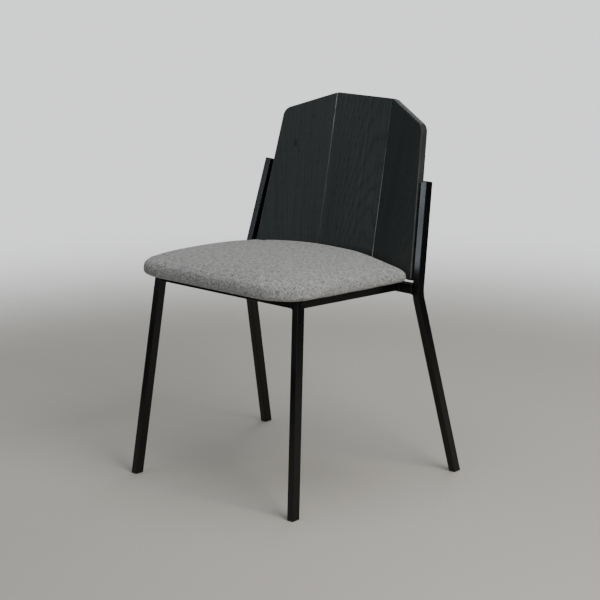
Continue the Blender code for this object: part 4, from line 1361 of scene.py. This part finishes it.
def make_plywood():
    finish = Finish("birch_plywood", Specular_IOR_Level=0.35)
    place = finish.coordinates()
    split = finish.add("SeparateXYZ", {0: place})
    plies = finish.math("SINE", finish.math("MULTIPLY", split.outputs["Z"], math.pi / PLY))
    grain = finish.noise(finish.coordinates(scale=(1.0, 0.05, 1.0)), 600.0, 3.0, 0.6)
    colour = finish.blend(grain, (0.50, 0.34, 0.19), (0.68, 0.50, 0.31))
    colour = finish.blend(finish.spread(plies, 0.3, 0.6, 0.0, 0.35), colour, (0.26, 0.15, 0.07))
    return finish.wire(Base_Color=colour, Roughness=finish.spread(grain, 0.2, 0.8, 0.5, 0.7),
                       Normal=finish.bump(grain, 0.0002, 0.4))


plywood = make_plywood()
for node in ("seat_board", "back_spline_left", "back_spline_right"):
    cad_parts[node].data.materials.clear()
    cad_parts[node].data.materials.append(plywood)

# %% [markdown]
# ## A plain pale room
# The chair stands on a pale floor under soft light: a large source high on the right, a ceiling,
# a pale wall behind and a dim sky. Two more lamps, a cooler window low on the left and a low
# card in front, act on gloss alone: they draw light along the arrises and leave the cloth be.

# %% Floor and sky
FLOOR_HALF = 4.0
FADE_START = 1.0
FADE_END = 2.7


def make_floor():
    """Pale floor whose cover falls from 1 to 0 with distance from the chair, in metres, and
    which is clear from below, so that the underside of the seat can be looked at."""
    finish = Finish("pale_floor", Specular_IOR_Level=0.2, Roughness=0.7)
    place = finish.coordinates()
    cloud = finish.noise(place, 1.5, 3.0)
    cover = finish.spread(finish.vector("LENGTH", place), FADE_START, FADE_END, 1.0, 0.0)
    cover.node.interpolation_type = "SMOOTHERSTEP"
    below = finish.add("NewGeometry").outputs["Backfacing"]
    clear = finish.math("MULTIPLY", cover, finish.math("SUBTRACT", 1.0, below))
    return finish.wire(Base_Color=finish.blend(cloud, (0.62, 0.585, 0.535), (0.66, 0.63, 0.575)),
                       Alpha=clear)


floor_mesh = bpy.data.meshes.new("floor")
floor_mesh.from_pydata([(x * FLOOR_HALF, y * FLOOR_HALF, 0.0) for x, y
                        in ((-1, -1), (1, -1), (1, 1), (-1, 1))], [], [(0, 1, 2, 3)])
floor_mesh.materials.append(make_floor())
floor = bpy.data.objects.new("floor", floor_mesh)
bpy.context.scene.collection.objects.link(floor)

# %% [markdown]
# The sky is one colour, but rays of different kinds may see it at different strengths. The
# camera sees it bright, cloth is lit by it gently, and gloss reflects it least of all, so that
# the black steel reads as black instead of mirroring a white room.

# %% Three strengths of sky
SKY_SEEN = ((0.775, 0.805, 0.79), 1.62)
SKY_CAST = ((0.80, 0.86, 0.90), 0.19)
SKY_GLOSS = ((0.80, 0.86, 0.90), 0.06)

world = bpy.data.worlds.new("pale_room")
world.use_nodes = True
bpy.context.scene.world = world
sky = world.node_tree
rays = sky.nodes.new("ShaderNodeLightPath")


def sky_shader(colour, strength):
    shader = sky.nodes.new("ShaderNodeBackground")
    shader.inputs["Color"].default_value = (*colour, 1.0)
    shader.inputs["Strength"].default_value = strength
    return shader.outputs[0]


def sky_choice(test, when_false, when_true):
    mixer = sky.nodes.new("ShaderNodeMixShader")
    sky.links.new(rays.outputs[test], mixer.inputs[0])
    sky.links.new(when_false, mixer.inputs[1])
    sky.links.new(when_true, mixer.inputs[2])
    return mixer.outputs[0]


lighting = sky_choice("Is Glossy Ray", sky_shader(*SKY_CAST), sky_shader(*SKY_GLOSS))
choice = sky_choice("Is Camera Ray", lighting, sky_shader(*SKY_SEEN))
sky.links.new(choice, sky.nodes["World Output"].inputs["Surface"])

# %% Soft lights
def area_light(name, place, target, size, power, colour, lights_cloth=True):
    data = bpy.data.lights.new(name, "AREA")
    data.shape = "RECTANGLE"
    data.size, data.size_y = size
    data.energy = power
    data.color = colour
    lamp = bpy.data.objects.new(name, data)
    lamp.location = place
    lamp.rotation_mode = "QUATERNION"
    lamp.rotation_quaternion = (Vector(target) - Vector(place)).to_track_quat("-Z", "Y")
    lamp.visible_diffuse = lights_cloth
    lamp.visible_camera = False
    bpy.context.scene.collection.objects.link(lamp)


area_light("key_right", (2.6, -0.5, 2.4), (0, 0, 0.4), (1.8, 1.8), 62, (1.0, 0.98, 0.95))
area_light("window_left", (-1.85, -2.3, 1.15), (0.1, 0, 0.5), (0.9, 1.0), 23, (0.82, 0.91, 1.0),
           lights_cloth=False)
area_light("low_front", (2.0, -2.2, 0.55), (0.1, 0, 0.5), (1.0, 0.9), 14, (1.0, 1.0, 1.0),
           lights_cloth=False)
area_light("wall_behind", (-1.0, 2.9, 2.05), (0, 0, 0.5), (1.6, 1.6), 13, (0.95, 0.98, 1.0))
area_light("ceiling", (0.2, 0.0, 3.2), (0, 0, 0), (2.4, 2.4), 30, (1.0, 1.0, 1.0))

# %% [markdown]
# ## The camera
# It stands at a person's chest height to the front right, far enough away for the chair to be
# drawn with little perspective, and is rolled by a quarter of a degree.

# %% Camera
CAMERA_PLACE = Vector((2.7171, -2.9693, 1.3423))
CAMERA_TARGET = Vector((0.0, 0.0314, 0.3576))
FOCAL_LENGTH = 120.5
CAMERA_ROLL = math.radians(-0.26)

camera_data = bpy.data.cameras.new("camera")
camera_data.lens = FOCAL_LENGTH
camera = bpy.data.objects.new("camera", camera_data)
look = (CAMERA_TARGET - CAMERA_PLACE).to_track_quat("-Z", "Y").to_matrix().to_4x4()
camera.matrix_world = Matrix.Translation(CAMERA_PLACE) @ look @ Matrix.Rotation(CAMERA_ROLL, 4, "Z")
bpy.context.scene.collection.objects.link(camera)
bpy.context.scene.camera = camera
